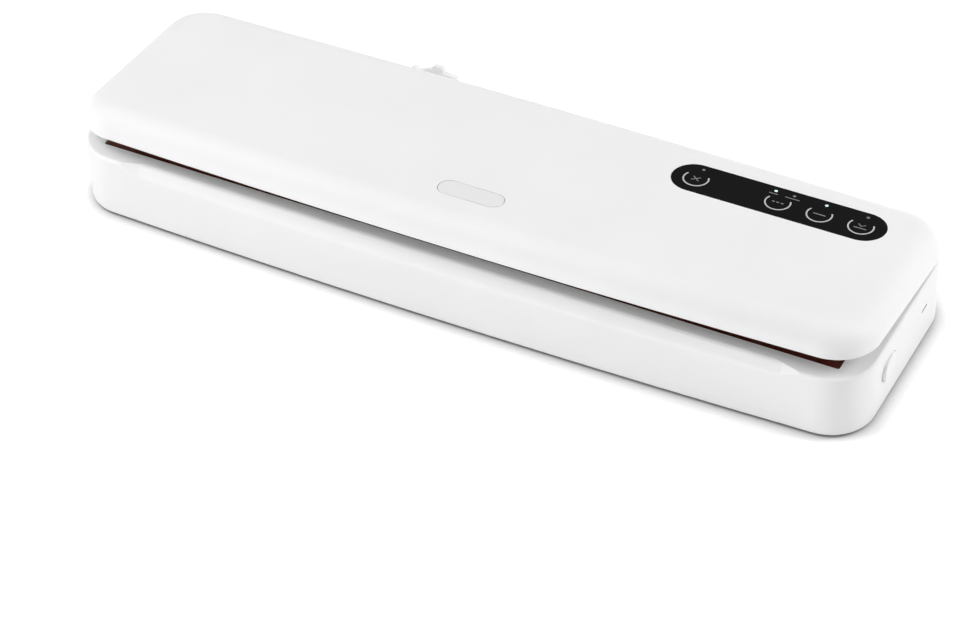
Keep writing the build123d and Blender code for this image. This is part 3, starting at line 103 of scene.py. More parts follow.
# Pressure strip under the lid, with its grip lines; at its ends, the inset and share of each section
STRIP_X = 176.7
STRIP_Y = -39.6
STRIP_W = 5.9
STRIP_LOW = 31.78
STRIP_TOP = 35.18
STRIP_ROUND = 1.2
STRIP_ROUND_STEPS = 6
STRIP_ENDS = ((0.0, 0.8), (0.5, 0.95), (1.4, 1.0))
GRIP_YS = (-0.9, 0.0, 0.9)
GRIP_HALF = 0.25
GRIP_DEEP = 0.22

# Rubber feet; the sole is given by its radii and heights
FOOT_XS = (-160.0, 160.0)
FOOT_YS = (-36.0, 34.0)
FOOT_R = 6.95
FOOT_TOP = 1.8
FOOT_ROUND = 0.65
FOOT_ROUND_STEPS = 5
FOOT_TURN_STEPS = 48
FOOT_FLAT_R = FOOT_R - FOOT_ROUND
FOOT_DISH = ((0, 0.25), (2.2, 0.25), (2.5, 0.0))
FOOT_GROOVE = ((4.6, 0.0), (4.8, 0.3), (5.3, 0.3), (5.5, 0.0))

# Screws; the head is given by its radii and heights
SCREW_HEAD_R = 2.5
SCREW_HEAD_H = 1.2
SCREW_HEAD = ((0, 0.0), (1.375, 0.0), (2.15, 0.18), (SCREW_HEAD_R, 0.62), (SCREW_HEAD_R, SCREW_HEAD_H))
SCREW_SHANK_R = 1.2
SCREW_ROOT_R = 0.96
SCREW_TIP_R = 0.72
SCREW_TIP_L = 0.3
SCREW_PITCH = 1.0
RIDGE_FOOT = 0.3
RIDGE_CREST = 0.65
SCREW_TURN_STEPS = 28
SCREW_CROSS_L = 2.9
SCREW_CROSS_W = 0.62
SCREW_CROSS_DEEP = 0.75
SCREW_CROSS_TAPER = 0.6
SCREW_CROSS_TURNS = (20.0, 110.0)
COVER_SCREW_XS = (-140.0, 0.0, 140.0)
COVER_SCREW_YS = (-45.85, 44.0)
COVER_SCREW_LOW = 0.6
COVER_SCREW_L = 9.0
LID_SCREW_XS = (-130.0, 0.0, 130.0)
LID_SCREW_YS = (-45.45, 40.4)
LID_SCREW_LOW = 33.0
LID_SCREW_L = 7.0

# Marks on the touch panel: open rings round the keys
PANEL_X0 = 69.3
PANEL_L = 98.9
PANEL_Y = 26.7
KEY_SHARES = (0.112, 0.4995, 0.694, 0.887)
KEY_XS = [PANEL_X0 + share * PANEL_L for share in KEY_SHARES]
KEY_DROP = 0.4
KEY_Y = PANEL_Y - KEY_DROP
RING_R = 5.55
RING_LINE = 0.66
RING_FROM = -207.0
RING_TO = 27.0
RING_STEPS = 40
INK_T = 0.03
INK_SHARP = 30.0
LINE_END_STEPS = 6

# Marks on the touch panel: the signs in the rings and the bars by the lights
CROSS_X = 1.5
CROSS_Y = 1.3
CROSS_LINE = 0.5
DOT_XS = (-2.0, 0.0, 2.0)
DOT_HALF = 0.3
DOT_LINE = 0.8
BAR_HALF = 2.6
BAR_LINE = 0.6
BAR_DROP = 1.3
ARROW_X = 1.5
ARROW_TOP = 1.5
ARROW_TIP = 0.2
ARROW_LINE = 0.5
NOTE_RISE = 5.0
NOTE_Y = PANEL_Y + NOTE_RISE
NOTE_BARS = ((-6.0, -2.4), (1.4, 7.6))
NOTE_LINE = 0.55

# Camera, fitted to the photograph
CAMERA_PLACE = (0.55946, -1.07689, 1.01324)
CAMERA_TARGET = (0.00836, -0.04639, 0.0)
CAMERA_ROLL = -1.89
CAMERA_LENS = 134.32
CAMERA_SENSOR = 36.0

for leftover in list(bpy.data.objects):
    bpy.data.objects.remove(leftover)
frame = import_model()
nodes = frame["nodes"]
joints = {joint["name"]: joint for joint in frame["joints"]}

# Plan frames: the base stands level, and the lid is turned open about the hinge
hinge_at = Vector(joints["lid_hinge"]["pos_m"])
ajar = math.radians(-joints["lid_hinge"]["range_deg"][0])
BASE = Matrix.Translation((0, PLAN_Y * MM, 0))
LID = (
    Matrix.Translation(hinge_at)
    @ Matrix.Rotation(-ajar, 4, "X")
    @ Matrix.Translation(-hinge_at)
    @ BASE
)
LID_TURN = LID.to_3x3()
FROM_LID = LID.inverted()


# Materials
def new_material(name):
    """An empty node material with its output and one principled shader."""
    material = bpy.data.materials.new(name)
    material.use_nodes = True
    tree = material.node_tree
    tree.nodes.clear()
    out = tree.nodes.new("ShaderNodeOutputMaterial")
    shader = tree.nodes.new("ShaderNodeBsdfPrincipled")
    tree.links.new(shader.outputs["BSDF"], out.inputs["Surface"])
    return material, tree, shader


def object_coords(tree, stretch=(1.0, 1.0, 1.0)):
    """Object coordinates in metres, stretched along each axis."""
    coords = tree.nodes.new("ShaderNodeTexCoord")
    mapping = tree.nodes.new("ShaderNodeMapping")
    mapping.inputs["Scale"].default_value = stretch
    tree.links.new(coords.outputs["Object"], mapping.inputs["Vector"])
    return mapping.outputs["Vector"]


def noise(tree, vector, scale, detail=3.0):
    """Noise over the object, 0 to 1, with features of about 1 / scale metres."""
    node = tree.nodes.new("ShaderNodeTexNoise")
    node.inputs["Scale"].default_value = scale
    node.inputs["Detail"].default_value = detail
    tree.links.new(vector, node.inputs["Vector"])
    return node.outputs["Fac"]


def wave(tree, vector, scale, direction):
    """Plain bands along one axis, 0 to 1."""
    node = tree.nodes.new("ShaderNodeTexWave")
    node.bands_direction = direction
    node.inputs["Scale"].default_value = scale
    tree.links.new(vector, node.inputs["Vector"])
    return node.outputs["Fac"]


def ramp(tree, factor, low, high, start=0.3, end=0.7):
    """Two colours blended over part of a factor's span."""
    node = tree.nodes.new("ShaderNodeValToRGB")
    node.color_ramp.elements[0].position = start
    node.color_ramp.elements[0].color = (*low, 1.0)
    node.color_ramp.elements[1].position = end
    node.color_ramp.elements[1].color = (*high, 1.0)
    tree.links.new(factor, node.inputs["Fac"])
    return node.outputs["Color"]


def span(tree, factor, low, high):
    """A factor of 0 to 1 mapped to low to high."""
    node = tree.nodes.new("ShaderNodeMapRange")
    node.inputs["To Min"].default_value = low
    node.inputs["To Max"].default_value = high
    tree.links.new(factor, node.inputs["Value"])
    return node.outputs["Result"]


def math_node(tree, operation, a, b):
    """One math node; a and b are sockets or numbers."""
    node = tree.nodes.new("ShaderNodeMath")
    node.operation = operation
    for value, socket in ((a, node.inputs[0]), (b, node.inputs[1])):
        if isinstance(value, (int, float)):
            socket.default_value = value
        else:
            tree.links.new(value, socket)
    return node.outputs["Value"]


def dress(tree, shader, colour, roughness, height, depth):
    """Links a colour, a roughness and a bump of the given depth in metres to a shader."""
    tree.links.new(colour, shader.inputs["Base Color"])
    tree.links.new(roughness, shader.inputs["Roughness"])
    node = tree.nodes.new("ShaderNodeBump")
    node.inputs["Distance"].default_value = depth
    tree.links.new(height, node.inputs["Height"])
    tree.links.new(node.outputs["Normal"], shader.inputs["Normal"])


def moulded(name, low, high, rough, grain, depth, specular):
    """Moulded plastic or rubber: faint cloudiness in its colour, uneven gloss and a fine grain."""
    material, tree, shader = new_material(name)
    vector = object_coords(tree)
    colour = ramp(tree, noise(tree, vector, scale=22.0), low, high)
    roughness = span(tree, noise(tree, vector, scale=140.0), *rough)
    dress(tree, shader, colour, roughness, noise(tree, vector, grain, detail=2.0), depth)
    shader.inputs["Specular IOR Level"].default_value = specular
    return material


def metal(name, low, high, rough, stretch):
    """Drawn or rolled metal: fine streaks along one axis."""
    material, tree, shader = new_material(name)
    streaks = noise(tree, object_coords(tree, stretch), scale=900.0, detail=4.0)
    colour = ramp(tree, streaks, low, high)
    dress(tree, shader, colour, span(tree, streaks, *rough), streaks, depth=4e-6)
    shader.inputs["Metallic"].default_value = 1.0
    return material


def tape_material():
    """Brown coated glass cloth: a plain weave under a smooth coat."""
    material, tree, shader = new_material("tape")
    vector = object_coords(tree)
    warp, weft = (wave(tree, vector, scale=640.0, direction=axis) for axis in "XY")
    threads = math_node(tree, "MAXIMUM", warp, weft)
    mottle = noise(tree, vector, scale=90.0)
    shade = math_node(tree, "MULTIPLY", threads, span(tree, mottle, low=0.75, high=1.0))
    dark_brown = (0.034, 0.0047, 0.0026)
    light_brown = (0.135, 0.022, 0.0115)
    colour = ramp(tree, shade, dark_brown, light_brown, start=0.2, end=0.95)
    dress(tree, shader, colour, span(tree, mottle, low=0.3, high=0.5), threads, depth=4e-5)
    shader.inputs["Specular IOR Level"].default_value = 0.15
    return material


def board_material():
    """Green solder mask with lighter traces and small pads."""
    material, tree, shader = new_material("board")
    vector = object_coords(tree)
    traces = tree.nodes.new("ShaderNodeTexBrick")
    traces.inputs["Scale"].default_value = 160.0
    traces.inputs["Mortar Size"].default_value = 0.06
    traces.inputs["Color1"].default_value = (0.012, 0.085, 0.03, 1.0)
    traces.inputs["Color2"].default_value = (0.016, 0.1, 0.036, 1.0)
    traces.inputs["Mortar"].default_value = (0.04, 0.2, 0.07, 1.0)
    tree.links.new(vector, traces.inputs["Vector"])
    roughness = span(tree, noise(tree, vector, scale=300.0), low=0.25, high=0.45)
    dress(tree, shader, traces.outputs["Color"], roughness, traces.outputs["Fac"], depth=2e-5)
    return material


def winding_material():
    """Yellow taped winding round a dark core."""
    material, tree, shader = new_material("copper_wound")
    vector = object_coords(tree)
    turns = wave(tree, vector, scale=420.0, direction="Z")
    colour = ramp(tree, turns, low=(0.32, 0.2, 0.03), high=(0.55, 0.38, 0.07))
    roughness = span(tree, noise(tree, vector, scale=200.0), low=0.35, high=0.55)
    dress(tree, shader, colour, roughness, turns, depth=5e-5)
    return material


def wire_material():
    """Insulated leads, red and black by turns."""
    material, tree, shader = new_material("wire")
    island = tree.nodes.new("ShaderNodeNewGeometry").outputs["Random Per Island"]
    red = (0.4, 0.015, 0.012)
    black = (0.02, 0.02, 0.022)
    colour = ramp(tree, island, red, black, start=0.49, end=0.51)
    vector = object_coords(tree)
    roughness = span(tree, noise(tree, vector, scale=400.0), low=0.35, high=0.5)
    dress(tree, shader, colour, roughness, noise(tree, vector, scale=1500.0), depth=1e-5)
    return material


def lamp_material(name, low, high, strength):
    """An indicator lens, a little cloudy, lit or dark."""
    material, tree, shader = new_material(name)
    colour = ramp(tree, noise(tree, object_coords(tree), scale=1800.0), low, high)
    tree.links.new(colour, shader.inputs["Base Color"])
    shader.inputs["Roughness"].default_value = 0.25
    if strength:
        tree.links.new(colour, shader.inputs["Emission Color"])
        shader.inputs["Emission Strength"].default_value = strength
    return material


def foam_material():
    """Black closed-cell foam rubber with small open pores."""
    material, tree, shader = new_material("gasket")
    vector = object_coords(tree)
    pores = tree.nodes.new("ShaderNodeTexVoronoi")
    pores.inputs["Scale"].default_value = 2600.0
    tree.links.new(vector, pores.inputs["Vector"])
    depth_in = pores.outputs["Distance"]
    colour = ramp(tree, depth_in, (0.012, 0.012, 0.013), (0.035, 0.035, 0.036), start=0.05, end=0.6)
    roughness = span(tree, noise(tree, vector, scale=260.0), low=0.75, high=0.95)
    dress(tree, shader, colour, roughness, depth_in, depth=8e-5)
    return material


# Darker and lighter colour, least and most roughness, grains to the metre, their depth, specular level
MOULDED = {
    "white_gloss": ((0.83, 0.83, 0.832), (0.85, 0.85, 0.85), (0.44, 0.54), 2600.0, 4e-6, 0.25),
    "white_pill": ((0.77, 0.77, 0.772), (0.79, 0.79, 0.79), (0.46, 0.56), 3200.0, 8e-6, 0.25),
    "white_matte": ((0.79, 0.79, 0.785), (0.82, 0.82, 0.815), (0.5, 0.62), 1800.0, 1.6e-5, 0.3),
    "black_gloss": ((0.0025, 0.0025, 0.003), (0.0035, 0.0035, 0.004), (0.2, 0.3), 900.0, 2e-6, 0.03),
    "dark_plastic": ((0.02, 0.02, 0.022), (0.035, 0.035, 0.037), (0.42, 0.6), 2200.0, 2e-5, 0.5),
    "silicone": ((0.6, 0.59, 0.57), (0.66, 0.65, 0.63), (0.45, 0.6), 1600.0, 1.5e-5, 0.5),
    "feet": ((0.025, 0.025, 0.026), (0.045, 0.045, 0.046), (0.65, 0.85), 2400.0, 4e-5, 0.5),
    "insulator": ((0.45, 0.36, 0.24), (0.55, 0.45, 0.32), (0.5, 0.7), 900.0, 3e-5, 0.5),
    "panel_ink": ((0.46, 0.46, 0.47), (0.52, 0.52, 0.53), (0.4, 0.5), 3000.0, 2e-6, 0.5),
    "panel_ink_dim": ((0.13, 0.13, 0.135), (0.17, 0.17, 0.175), (0.4, 0.5), 3000.0, 2e-6, 0.5),
}
# Darker and lighter colour, least and most roughness, stretch of the streaks along x, y and z
METALS = {
    "steel": ((0.46, 0.46, 0.47), (0.62, 0.62, 0.63), (0.22, 0.4), (0.15, 1.0, 1.0)),
    "brass": ((0.6, 0.42, 0.16), (0.74, 0.55, 0.25), (0.2, 0.36), (1.0, 0.15, 1.0)),
    "aluminium": ((0.66, 0.66, 0.67), (0.8, 0.8, 0.81), (0.3, 0.45), (1.0, 0.12, 1.0)),
}
# Darker and lighter colour, strength of the light
LENSES = {
    "light_on": ((0.5, 0.66, 0.68), (0.6, 0.76, 0.78), 0.5),
    "light_off": ((0.12, 0.12, 0.125), (0.2, 0.2, 0.21), 0.0),
}
MATERIALS = {
    "tape": tape_material(),
    "gasket": foam_material(),
    "board": board_material(),
    "copper_wound": winding_material(),
    "wire": wire_material(),
}
for make, looks in ((moulded, MOULDED), (metal, METALS), (lamp_material, LENSES)):
    for name, look in looks.items():
        MATERIALS[name] = make(name, *look)

for subpart in frame["record"]["subparts"]:
    mesh = nodes[subpart["node"]].data
    mesh.materials.clear()
    mesh.materials.append(MATERIALS[subpart["material_slot"]])


# Building pieces
def made_mesh(name, bm):
    """The mesh of a built form, which is freed."""
    mesh = bpy.data.meshes.new(name)
    bm.to_mesh(mesh)
    bm.free()
    return mesh


def linked(name, data):
    """A new object of the scene."""
    obj = bpy.data.objects.new(name, data)
    bpy.context.scene.collection.objects.link(obj)
    return obj


def piece(name, bm, material, body, replaced=(), sharp=35.0):
    """Turns a built form into a piece that rides on a body."""
    bmesh.ops.recalc_face_normals(bm, faces=bm.faces)
    mesh = made_mesh(name, bm)
    mesh.polygons.foreach_set("use_smooth", [True] * len(mesh.polygons))
    mesh.set_sharp_from_angle(angle=math.radians(sharp))
    mesh.materials.append(MATERIALS[material])
    obj = linked(name, mesh)
    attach(obj, body)
    if replaced:
        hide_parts(*replaced)
    return obj


def place(plan, x, y, z):
    """A plan point in millimetres as a point of the scene."""
    return plan @ Vector((x * MM, y * MM, z * MM))


def bridge(bm, rings):
    """Skins each ring of points to the next."""
    for a, b in zip(rings, rings[1:]):
        for k in range(len(a)):
            n = (k + 1) % len(a)
            bm.faces.new((a[k], a[n], b[n], b[k]))


def lathe(bm, plan, centre, profile, steps):
    """Turns a profile of (radius, z) about an upright axis. A radius of 0 closes the end."""
    rings = []
    for radius, z in profile:
        if radius == 0:
            rings.append([bm.verts.new(place(plan, centre[0], centre[1], z))])
            continue
        ring = []
        for k in range(steps):
            angle = 2 * math.pi * k / steps
            x = centre[0] + radius * math.cos(angle)
            y = centre[1] + radius * math.sin(angle)
            ring.append(bm.verts.new(place(plan, x, y, z)))
        rings.append(ring)
    for lower, upper in zip(rings, rings[1:]):
        for k in range(steps):
            n = (k + 1) % steps
            corners = [lower[k % len(lower)], lower[n % len(lower)]]
            corners += [upper[n % len(upper)], upper[k % len(upper)]]
            bm.faces.new(list(dict.fromkeys(corners)))


def rounded_loop(half_x, half_y, bend, corner_steps, run_step):
    """Points, with outward directions, round a rounded rectangle about the middle."""
    loop = []
    corners = (
        (half_x - bend, half_y - bend, 0),
        (bend - half_x, half_y - bend, 90),
        (bend - half_x, bend - half_y, 180),
        (half_x - bend, bend - half_y, 270),
    )
    for index, (cx, cy, start) in enumerate(corners):
        for k in range(corner_steps + 1):
            angle = math.radians(start + 90 * k / corner_steps)
            out = Vector((math.cos(angle), math.sin(angle)))
            loop.append((Vector((cx, cy)) + bend * out, out))
        following = corners[(index + 1) % len(corners)]
        here = loop[-1][0]
        there = Vector(following[:2]) + bend * out
        runs = max(int((there - here).length / run_step), 1)
        loop += [(here.lerp(there, k / runs), out) for k in range(1, runs)]
    return loop


def gasket(name, plan, seat, crown, body, node):
    """A foam ring of D section from its seat to its crown, a little uneven along its length."""
    bm = bmesh.new()
    rise = crown - seat
    half = GASKET_W / 2
    shoulder = seat + math.copysign(abs(rise) - GASKET_CROWN, rise)
    section = [(-half, seat), (-half, shoulder)]
    for k in range(1, GASKET_CROWN_STEPS):
        angle = math.pi * k / GASKET_CROWN_STEPS
        section.append((-half * math.cos(angle), shoulder + (crown - shoulder) * math.sin(angle)))
    section += [(half, shoulder), (half, seat)]
    loop = rounded_loop(GASKET_MID_X, GASKET_MID_Y, GASKET_BEND, GASKET_BEND_STEPS, GASKET_RUN_STEP)
    rings = []
    for step, (point, out) in enumerate(loop):
        sag = GASKET_WAVE * math.sin(step * GASKET_WAVE_STEP)
        ring = []
        for across, z in section:
            spot = point + across * out
            height = z - sag * (z - seat) / rise
            ring.append(bm.verts.new(place(plan, spot.x, GASKET_Y + spot.y, height)))
        rings.append(ring)
    bridge(bm, rings + rings[:1])
    obj = piece(name, bm, "gasket", body, (node,), sharp=50.0)


def pressure_strip():
    """The silicone strip that presses the bag on the heater: rounded lower edges and three grip lines."""
    bm = bmesh.new()
    half = STRIP_W / 2
    flank = [(-half, STRIP_TOP), (-half, STRIP_LOW + STRIP_ROUND)]
    for k in range(1, STRIP_ROUND_STEPS):
        angle = math.pi / 2 * k / STRIP_ROUND_STEPS
        y = -half + STRIP_ROUND * (1 - math.cos(angle))
        flank.append((y, STRIP_LOW + STRIP_ROUND * (1 - math.sin(angle))))
    section = list(flank)
    for y in GRIP_YS:
        section += [(y - GRIP_HALF, STRIP_LOW), (y, STRIP_LOW + GRIP_DEEP), (y + GRIP_HALF, STRIP_LOW)]
    section += [(-y, z) for y, z in reversed(flank)]
    left_end = [(-STRIP_X + inset, share) for inset, share in STRIP_ENDS]
    right_end = [(STRIP_X - inset, share) for inset, share in reversed(STRIP_ENDS)]
    rings = []
    for x, share in left_end + right_end:
        ring = []
        for y, z in section:
            height = STRIP_TOP + (z - STRIP_TOP) * share
            ring.append(bm.verts.new(place(LID, x, STRIP_Y + y * share, height)))
        rings.append(ring)
    bridge(bm, rings)
    bm.faces.new(rings[0])
    bm.faces.new(rings[-1])
    piece("pressure_strip_rubber", bm, "silicone", "lid", ("pressure_strip",), sharp=40.0)


def grid(xs, ys):
    """Every pair of two lists of places."""
    return [(x, y) for y in ys for x in xs]


def rubber_feet():
    """Four turned rubber feet with a round lower edge, a dished middle and a ring groove."""
    bm = bmesh.new()
    profile = [*FOOT_DISH, *FOOT_GROOVE, (FOOT_FLAT_R, 0.0)]
    for k in range(1, FOOT_ROUND_STEPS + 1):
        angle = math.pi / 2 * k / FOOT_ROUND_STEPS
        radius = FOOT_FLAT_R + FOOT_ROUND * math.sin(angle)
        profile.append((radius, FOOT_ROUND * (1 - math.cos(angle))))
    profile += [(FOOT_R, FOOT_TOP), (0, FOOT_TOP)]
    for x in FOOT_XS:
        for y in FOOT_YS:
            lathe(bm, BASE, (x, y), profile, FOOT_TURN_STEPS)
    piece("foot_pads", bm, "feet", "base", ("rubber_feet",))


def block(bm, plan, centre, size, turn, taper):
    """A box about a centre, turned about the upright axis; taper shrinks its upper face."""
    corners = []
    for z, share in ((-0.5, 1.0), (0.5, taper)):
        for x, y in ((-0.5, -0.5), (0.5, -0.5), (0.5, 0.5), (-0.5, 0.5)):
            spot = Vector((x * size[0] * share, y * size[1] * share)) @ Matrix.Rotation(-turn, 2)
            at = (centre[0] + spot.x, centre[1] + spot.y, centre[2] + z * size[2])
            corners.append(bm.verts.new(place(plan, *at)))
    for face in ((0, 1, 2, 3), (4, 5, 6, 7), (0, 1, 5, 4), (1, 2, 6, 5), (2, 3, 7, 6), (3, 0, 4, 7)):
        bm.faces.new([corners[k] for k in face])


def cross_cutter(plan, places, low):
    """The crosses that are cut into the heads of screws."""
    bm = bmesh.new()
    size = (SCREW_CROSS_L, SCREW_CROSS_W, 2 * SCREW_CROSS_DEEP)
    for x, y in places:
        for turn in SCREW_CROSS_TURNS:
            block(bm, plan, (x, y, low), size, math.radians(turn), SCREW_CROSS_TAPER)
    bmesh.ops.recalc_face_normals(bm, faces=bm.faces)
    return linked("cross_recess", made_mesh("cross_recess", bm))


def screws(name, plan, places, low, length, body, node):
    """Pan-head screws that point up, with a cross recess in each head and ridges on the shank."""
    bm = bmesh.new()
    top = low + SCREW_HEAD_H
    profile = [(radius, low + rise) for radius, rise in SCREW_HEAD]
    profile.append((SCREW_ROOT_R, top))
    for k in range(int(length / SCREW_PITCH) - 1):
        start = top + k * SCREW_PITCH
        profile += [(SCREW_ROOT_R, start + RIDGE_FOOT), (SCREW_SHANK_R, start + RIDGE_CREST)]
    profile += [(SCREW_TIP_R, top + length - SCREW_TIP_L), (0, top + length)]
    for spot in places:
        lathe(bm, plan, spot, profile, SCREW_TURN_STEPS)
    cutter = cross_cutter(plan, places, low)
    obj = piece(name, bm, "steel", body, (node,))
    cut = obj.modifiers.new("recess", "BOOLEAN")
    cut.operation = "DIFFERENCE"
    cut.solver = "EXACT"
    cut.use_self = True
    cut.object = cutter
    shaped = obj.evaluated_get(bpy.context.evaluated_depsgraph_get())
    shaped_mesh = bpy.data.meshes.new_from_object(shaped)
    obj.modifiers.clear()
    obj.data = shaped_mesh
    bpy.data.objects.remove(cutter)


def pressed_spring(name, node, body):
    """The node's coil, copied from its mesh, riding on a body in the node's place."""
    obj = linked(name, nodes[node].data.copy())
    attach(obj, body)
    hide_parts(node)
    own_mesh(obj)


gasket("lower_gasket_foam", BASE, LOWER_GASKET_LOW, LOWER_GASKET_TOP, "base", "lower_gasket")
gasket("upper_gasket_foam", LID, UPPER_GASKET_TOP, UPPER_GASKET_LOW, "lid", "upper_gasket")
pressure_strip()
rubber_feet()
cover_places = grid(COVER_SCREW_XS, COVER_SCREW_YS)
lid_places = grid(LID_SCREW_XS, LID_SCREW_YS)
screws("cover_pan_screws", BASE, cover_places, COVER_SCREW_LOW, COVER_SCREW_L, "base", "cover_screws")
screws("liner_pan_screws", LID, lid_places, LID_SCREW_LOW, LID_SCREW_L, "lid", "lid_screws")
for end, side in (("left", -1), ("right", 1)):
    pressed_spring(f"{end}_release_coil", f"release_spring_{end}", "base")
pressed_spring("vent_coil", "vent_spring", "lid")


# The lid's shell with finer rolls
def lid_spot(vert):
    """A vertex as a point of the lid's plan, in millimetres."""
    return FROM_LID @ vert.co / MM


def roll_core(spot, side, bow):
    """The point, nearest to a plan point, of the line that one long roll of the lid bends round."""
    radius = (HALF_L**2 + bow**2) / (2 * bow)
    middle = side * (HALF_W - radius)
    flat = Vector((spot.x, spot.y - middle)).normalized() * (radius - LID_ROUND)
    return Vector((flat.x, flat.y + middle, LID_TOP - LID_ROUND))


def roll_out(vert, side, bow):
    """From the core of a long roll to a vertex, in millimetres of the lid's plan."""
    spot = lid_spot(vert)
    return spot - roll_core(spot, side, bow)


def roll_faces(bm, side, bow):
    """The faces on one long roll of the lid, without level or upright faces that only end on it."""
    spots = {vert: lid_spot(vert) for vert in bm.verts}
    near = set()
    for vert, spot in spots.items():
        out = spot - roll_core(spot, side, bow)
        if abs(out.length - LID_ROUND) < ROLL_SLACK and out.z > -ROLL_SLACK:
            near.add(vert)
    found = []
    for face in bm.faces:
        if near.issuperset(face.verts):
            xs = [spots[vert].x for vert in face.verts]
            zs = [spots[vert].z for vert in face.verts]
            if min(max(xs) - min(xs), max(zs) - min(zs)) > ROLL_SLACK:
                found.append(face)
    return found


def inner_edges(faces):
    """The edges between two of the faces, in the order of the faces, so that each run is the same."""
    inside = set(faces)
    edges = dict.fromkeys(edge for face in faces for edge in face.edges)
    return [e for e in edges if len(e.link_faces) == 2 and inside.issuperset(e.link_faces)]


def refine_roll(bm, side, bow):
    """Splits the edges that cut across a roll, sets the new points on it and turns the rest along it."""
    verts = dict.fromkeys(vert for face in roll_faces(bm, side, bow) for vert in face.verts)
    bmesh.ops.remove_doubles(bm, verts=list(verts), dist=ROLL_WELD * MM)
    for _ in range(ROLL_ROUNDS):
        steep = []
        for edge in inner_edges(roll_faces(bm, side, bow)):
            first, second = (roll_out(vert, side, bow) for vert in edge.verts)
            if first.angle(second) > math.radians(ROLL_STEP):
                steep.append(edge)
        if not steep:
            break
        cut = bmesh.ops.subdivide_edges(bm, edges=steep, cuts=1)
        for vert in [item for item in cut["geom_inner"] if isinstance(item, bmesh.types.BMVert)]:
            out = roll_out(vert, side, bow)
            core = lid_spot(vert) - out
            vert.co = LID @ ((core + out.normalized() * LID_ROUND) * MM)
        bmesh.ops.triangulate(bm, faces=[face for face in bm.faces if len(face.verts) > 3])
        faces = roll_faces(bm, side, bow)
        bmesh.ops.beautify_fill(bm, faces=faces, edges=inner_edges(faces), method="ANGLE")


def lid_skin():
    """The lid's shell as the frame has it, with its two long rolls meshed more finely."""
    source = nodes["lid_shell"].data
    mesh = source.copy()
    kept = mesh.attributes.new(KEPT_NORMAL, "FLOAT_VECTOR", "CORNER")
    flat_normals = [part for corner in source.corner_normals for part in corner.vector]
    kept.data.foreach_set("vector", flat_normals)
    bm = bmesh.new()
    bm.from_mesh(mesh)
    for side, bow in LONG_ROLLS:
        refine_roll(bm, side, bow)
    layer = bm.loops.layers.float_vector[KEPT_NORMAL]
    for side, bow in LONG_ROLLS:
        for face in roll_faces(bm, side, bow):
            for loop in face.loops:
                loop[layer] = LID_TURN @ roll_out(loop.vert, side, bow).normalized()
    bm.to_mesh(mesh)
    bm.free()
    normals = [corner.vector.copy() for corner in mesh.attributes[KEPT_NORMAL].data]
    mesh.attributes.remove(mesh.attributes[KEPT_NORMAL])
    mesh.normals_split_custom_set(normals)
    obj = linked("lid_skin", mesh)
    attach(obj, "lid")
    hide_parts("lid_shell")


lid_skin()


# Printed marks on the panel
def round_end(point, along, across, half, way):
    """The half circle that ends a printed line; way is 1 at its end and -1 at its start."""
    angles = [math.pi * k / LINE_END_STEPS for k in range(1, LINE_END_STEPS)]
    return [point + across * (way * math.cos(a)) + along * half * (way * math.sin(a)) for a in angles]


def stroke(bm, points, width):
    """A printed line along lid points, a thin slab with round ends."""
    half = width / 2
    sides = []
    for k, point in enumerate(points):
        before = points[max(k - 1, 0)]
        after = points[min(k + 1, len(points) - 1)]
        along = (after - before).normalized()
        sides.append((point, along, Vector((-along.y, along.x)) * half))
    outline = [point + across for point, along, across in sides]
    outline += round_end(*sides[-1], half, 1)
    outline += [point - across for point, along, across in reversed(sides)]
    outline += round_end(*sides[0], half, -1)
    lower = [bm.verts.new(place(LID, p.x, p.y, LID_TOP - INK_T)) for p in outline]
    upper = [bm.verts.new(place(LID, p.x, p.y, LID_TOP + INK_T)) for p in outline]
    bridge(bm, (lower, upper))
    bm.faces.new(lower)
    bm.faces.new(upper)


def arc(cx, cy, radius, start, end, steps):
    """Points on an arc, angles in degrees."""
    turn = [math.radians(start + (end - start) * k / steps) for k in range(steps + 1)]
    return [Vector((cx + radius * math.cos(a), cy + radius * math.sin(a))) for a in turn]


def line(*points):
    """Points of a straight or bent line."""
    return [Vector(p) for p in points]


def bar(x, y, half):
    """Points of a level line about a middle."""
    return line((x - half, y), (x + half, y))


def printed(name, marks, ink):
    """One piece of printed lines, each with its points and its width."""
    bm = bmesh.new()
    for points, width in marks:
        stroke(bm, points, width)
    bmesh.ops.triangulate(bm, faces=[face for face in bm.faces if len(face.verts) > 4])
    piece(name, bm, ink, "lid", sharp=INK_SHARP)


def key_signs():
    """A cross, three dots, a line and a line under an arrow in the rings, and two bars by the lights."""
    stop_x, mode_x, seal_x, vacuum_x = KEY_XS
    marks = []
    for lean in (-1, 1):
        low_end = (stop_x - CROSS_X, KEY_Y - CROSS_Y * lean)
        high_end = (stop_x + CROSS_X, KEY_Y + CROSS_Y * lean)
        marks.append((line(low_end, high_end), CROSS_LINE))
    for offset in DOT_XS:
        marks.append((bar(mode_x + offset, KEY_Y, DOT_HALF), DOT_LINE))
    marks.append((bar(seal_x, KEY_Y, BAR_HALF), BAR_LINE))
    marks.append((bar(vacuum_x, KEY_Y - BAR_DROP, BAR_HALF), BAR_LINE))
    arrow_left = (vacuum_x - ARROW_X, KEY_Y + ARROW_TOP)
    arrow_tip = (vacuum_x, KEY_Y + ARROW_TIP)
    arrow_right = (vacuum_x + ARROW_X, KEY_Y + ARROW_TOP)
    marks.append((line(arrow_left, arrow_tip, arrow_right), ARROW_LINE))
    for start, end in NOTE_BARS:
        marks.append((line((mode_x + start, NOTE_Y), (mode_x + end, NOTE_Y)), NOTE_LINE))
    return marks


key_rings = [(arc(x, KEY_Y, RING_R, RING_FROM, RING_TO, RING_STEPS), RING_LINE) for x in KEY_XS]
printed("key_rings", key_rings, "panel_ink")
printed("key_pictograms", key_signs(), "panel_ink_dim")
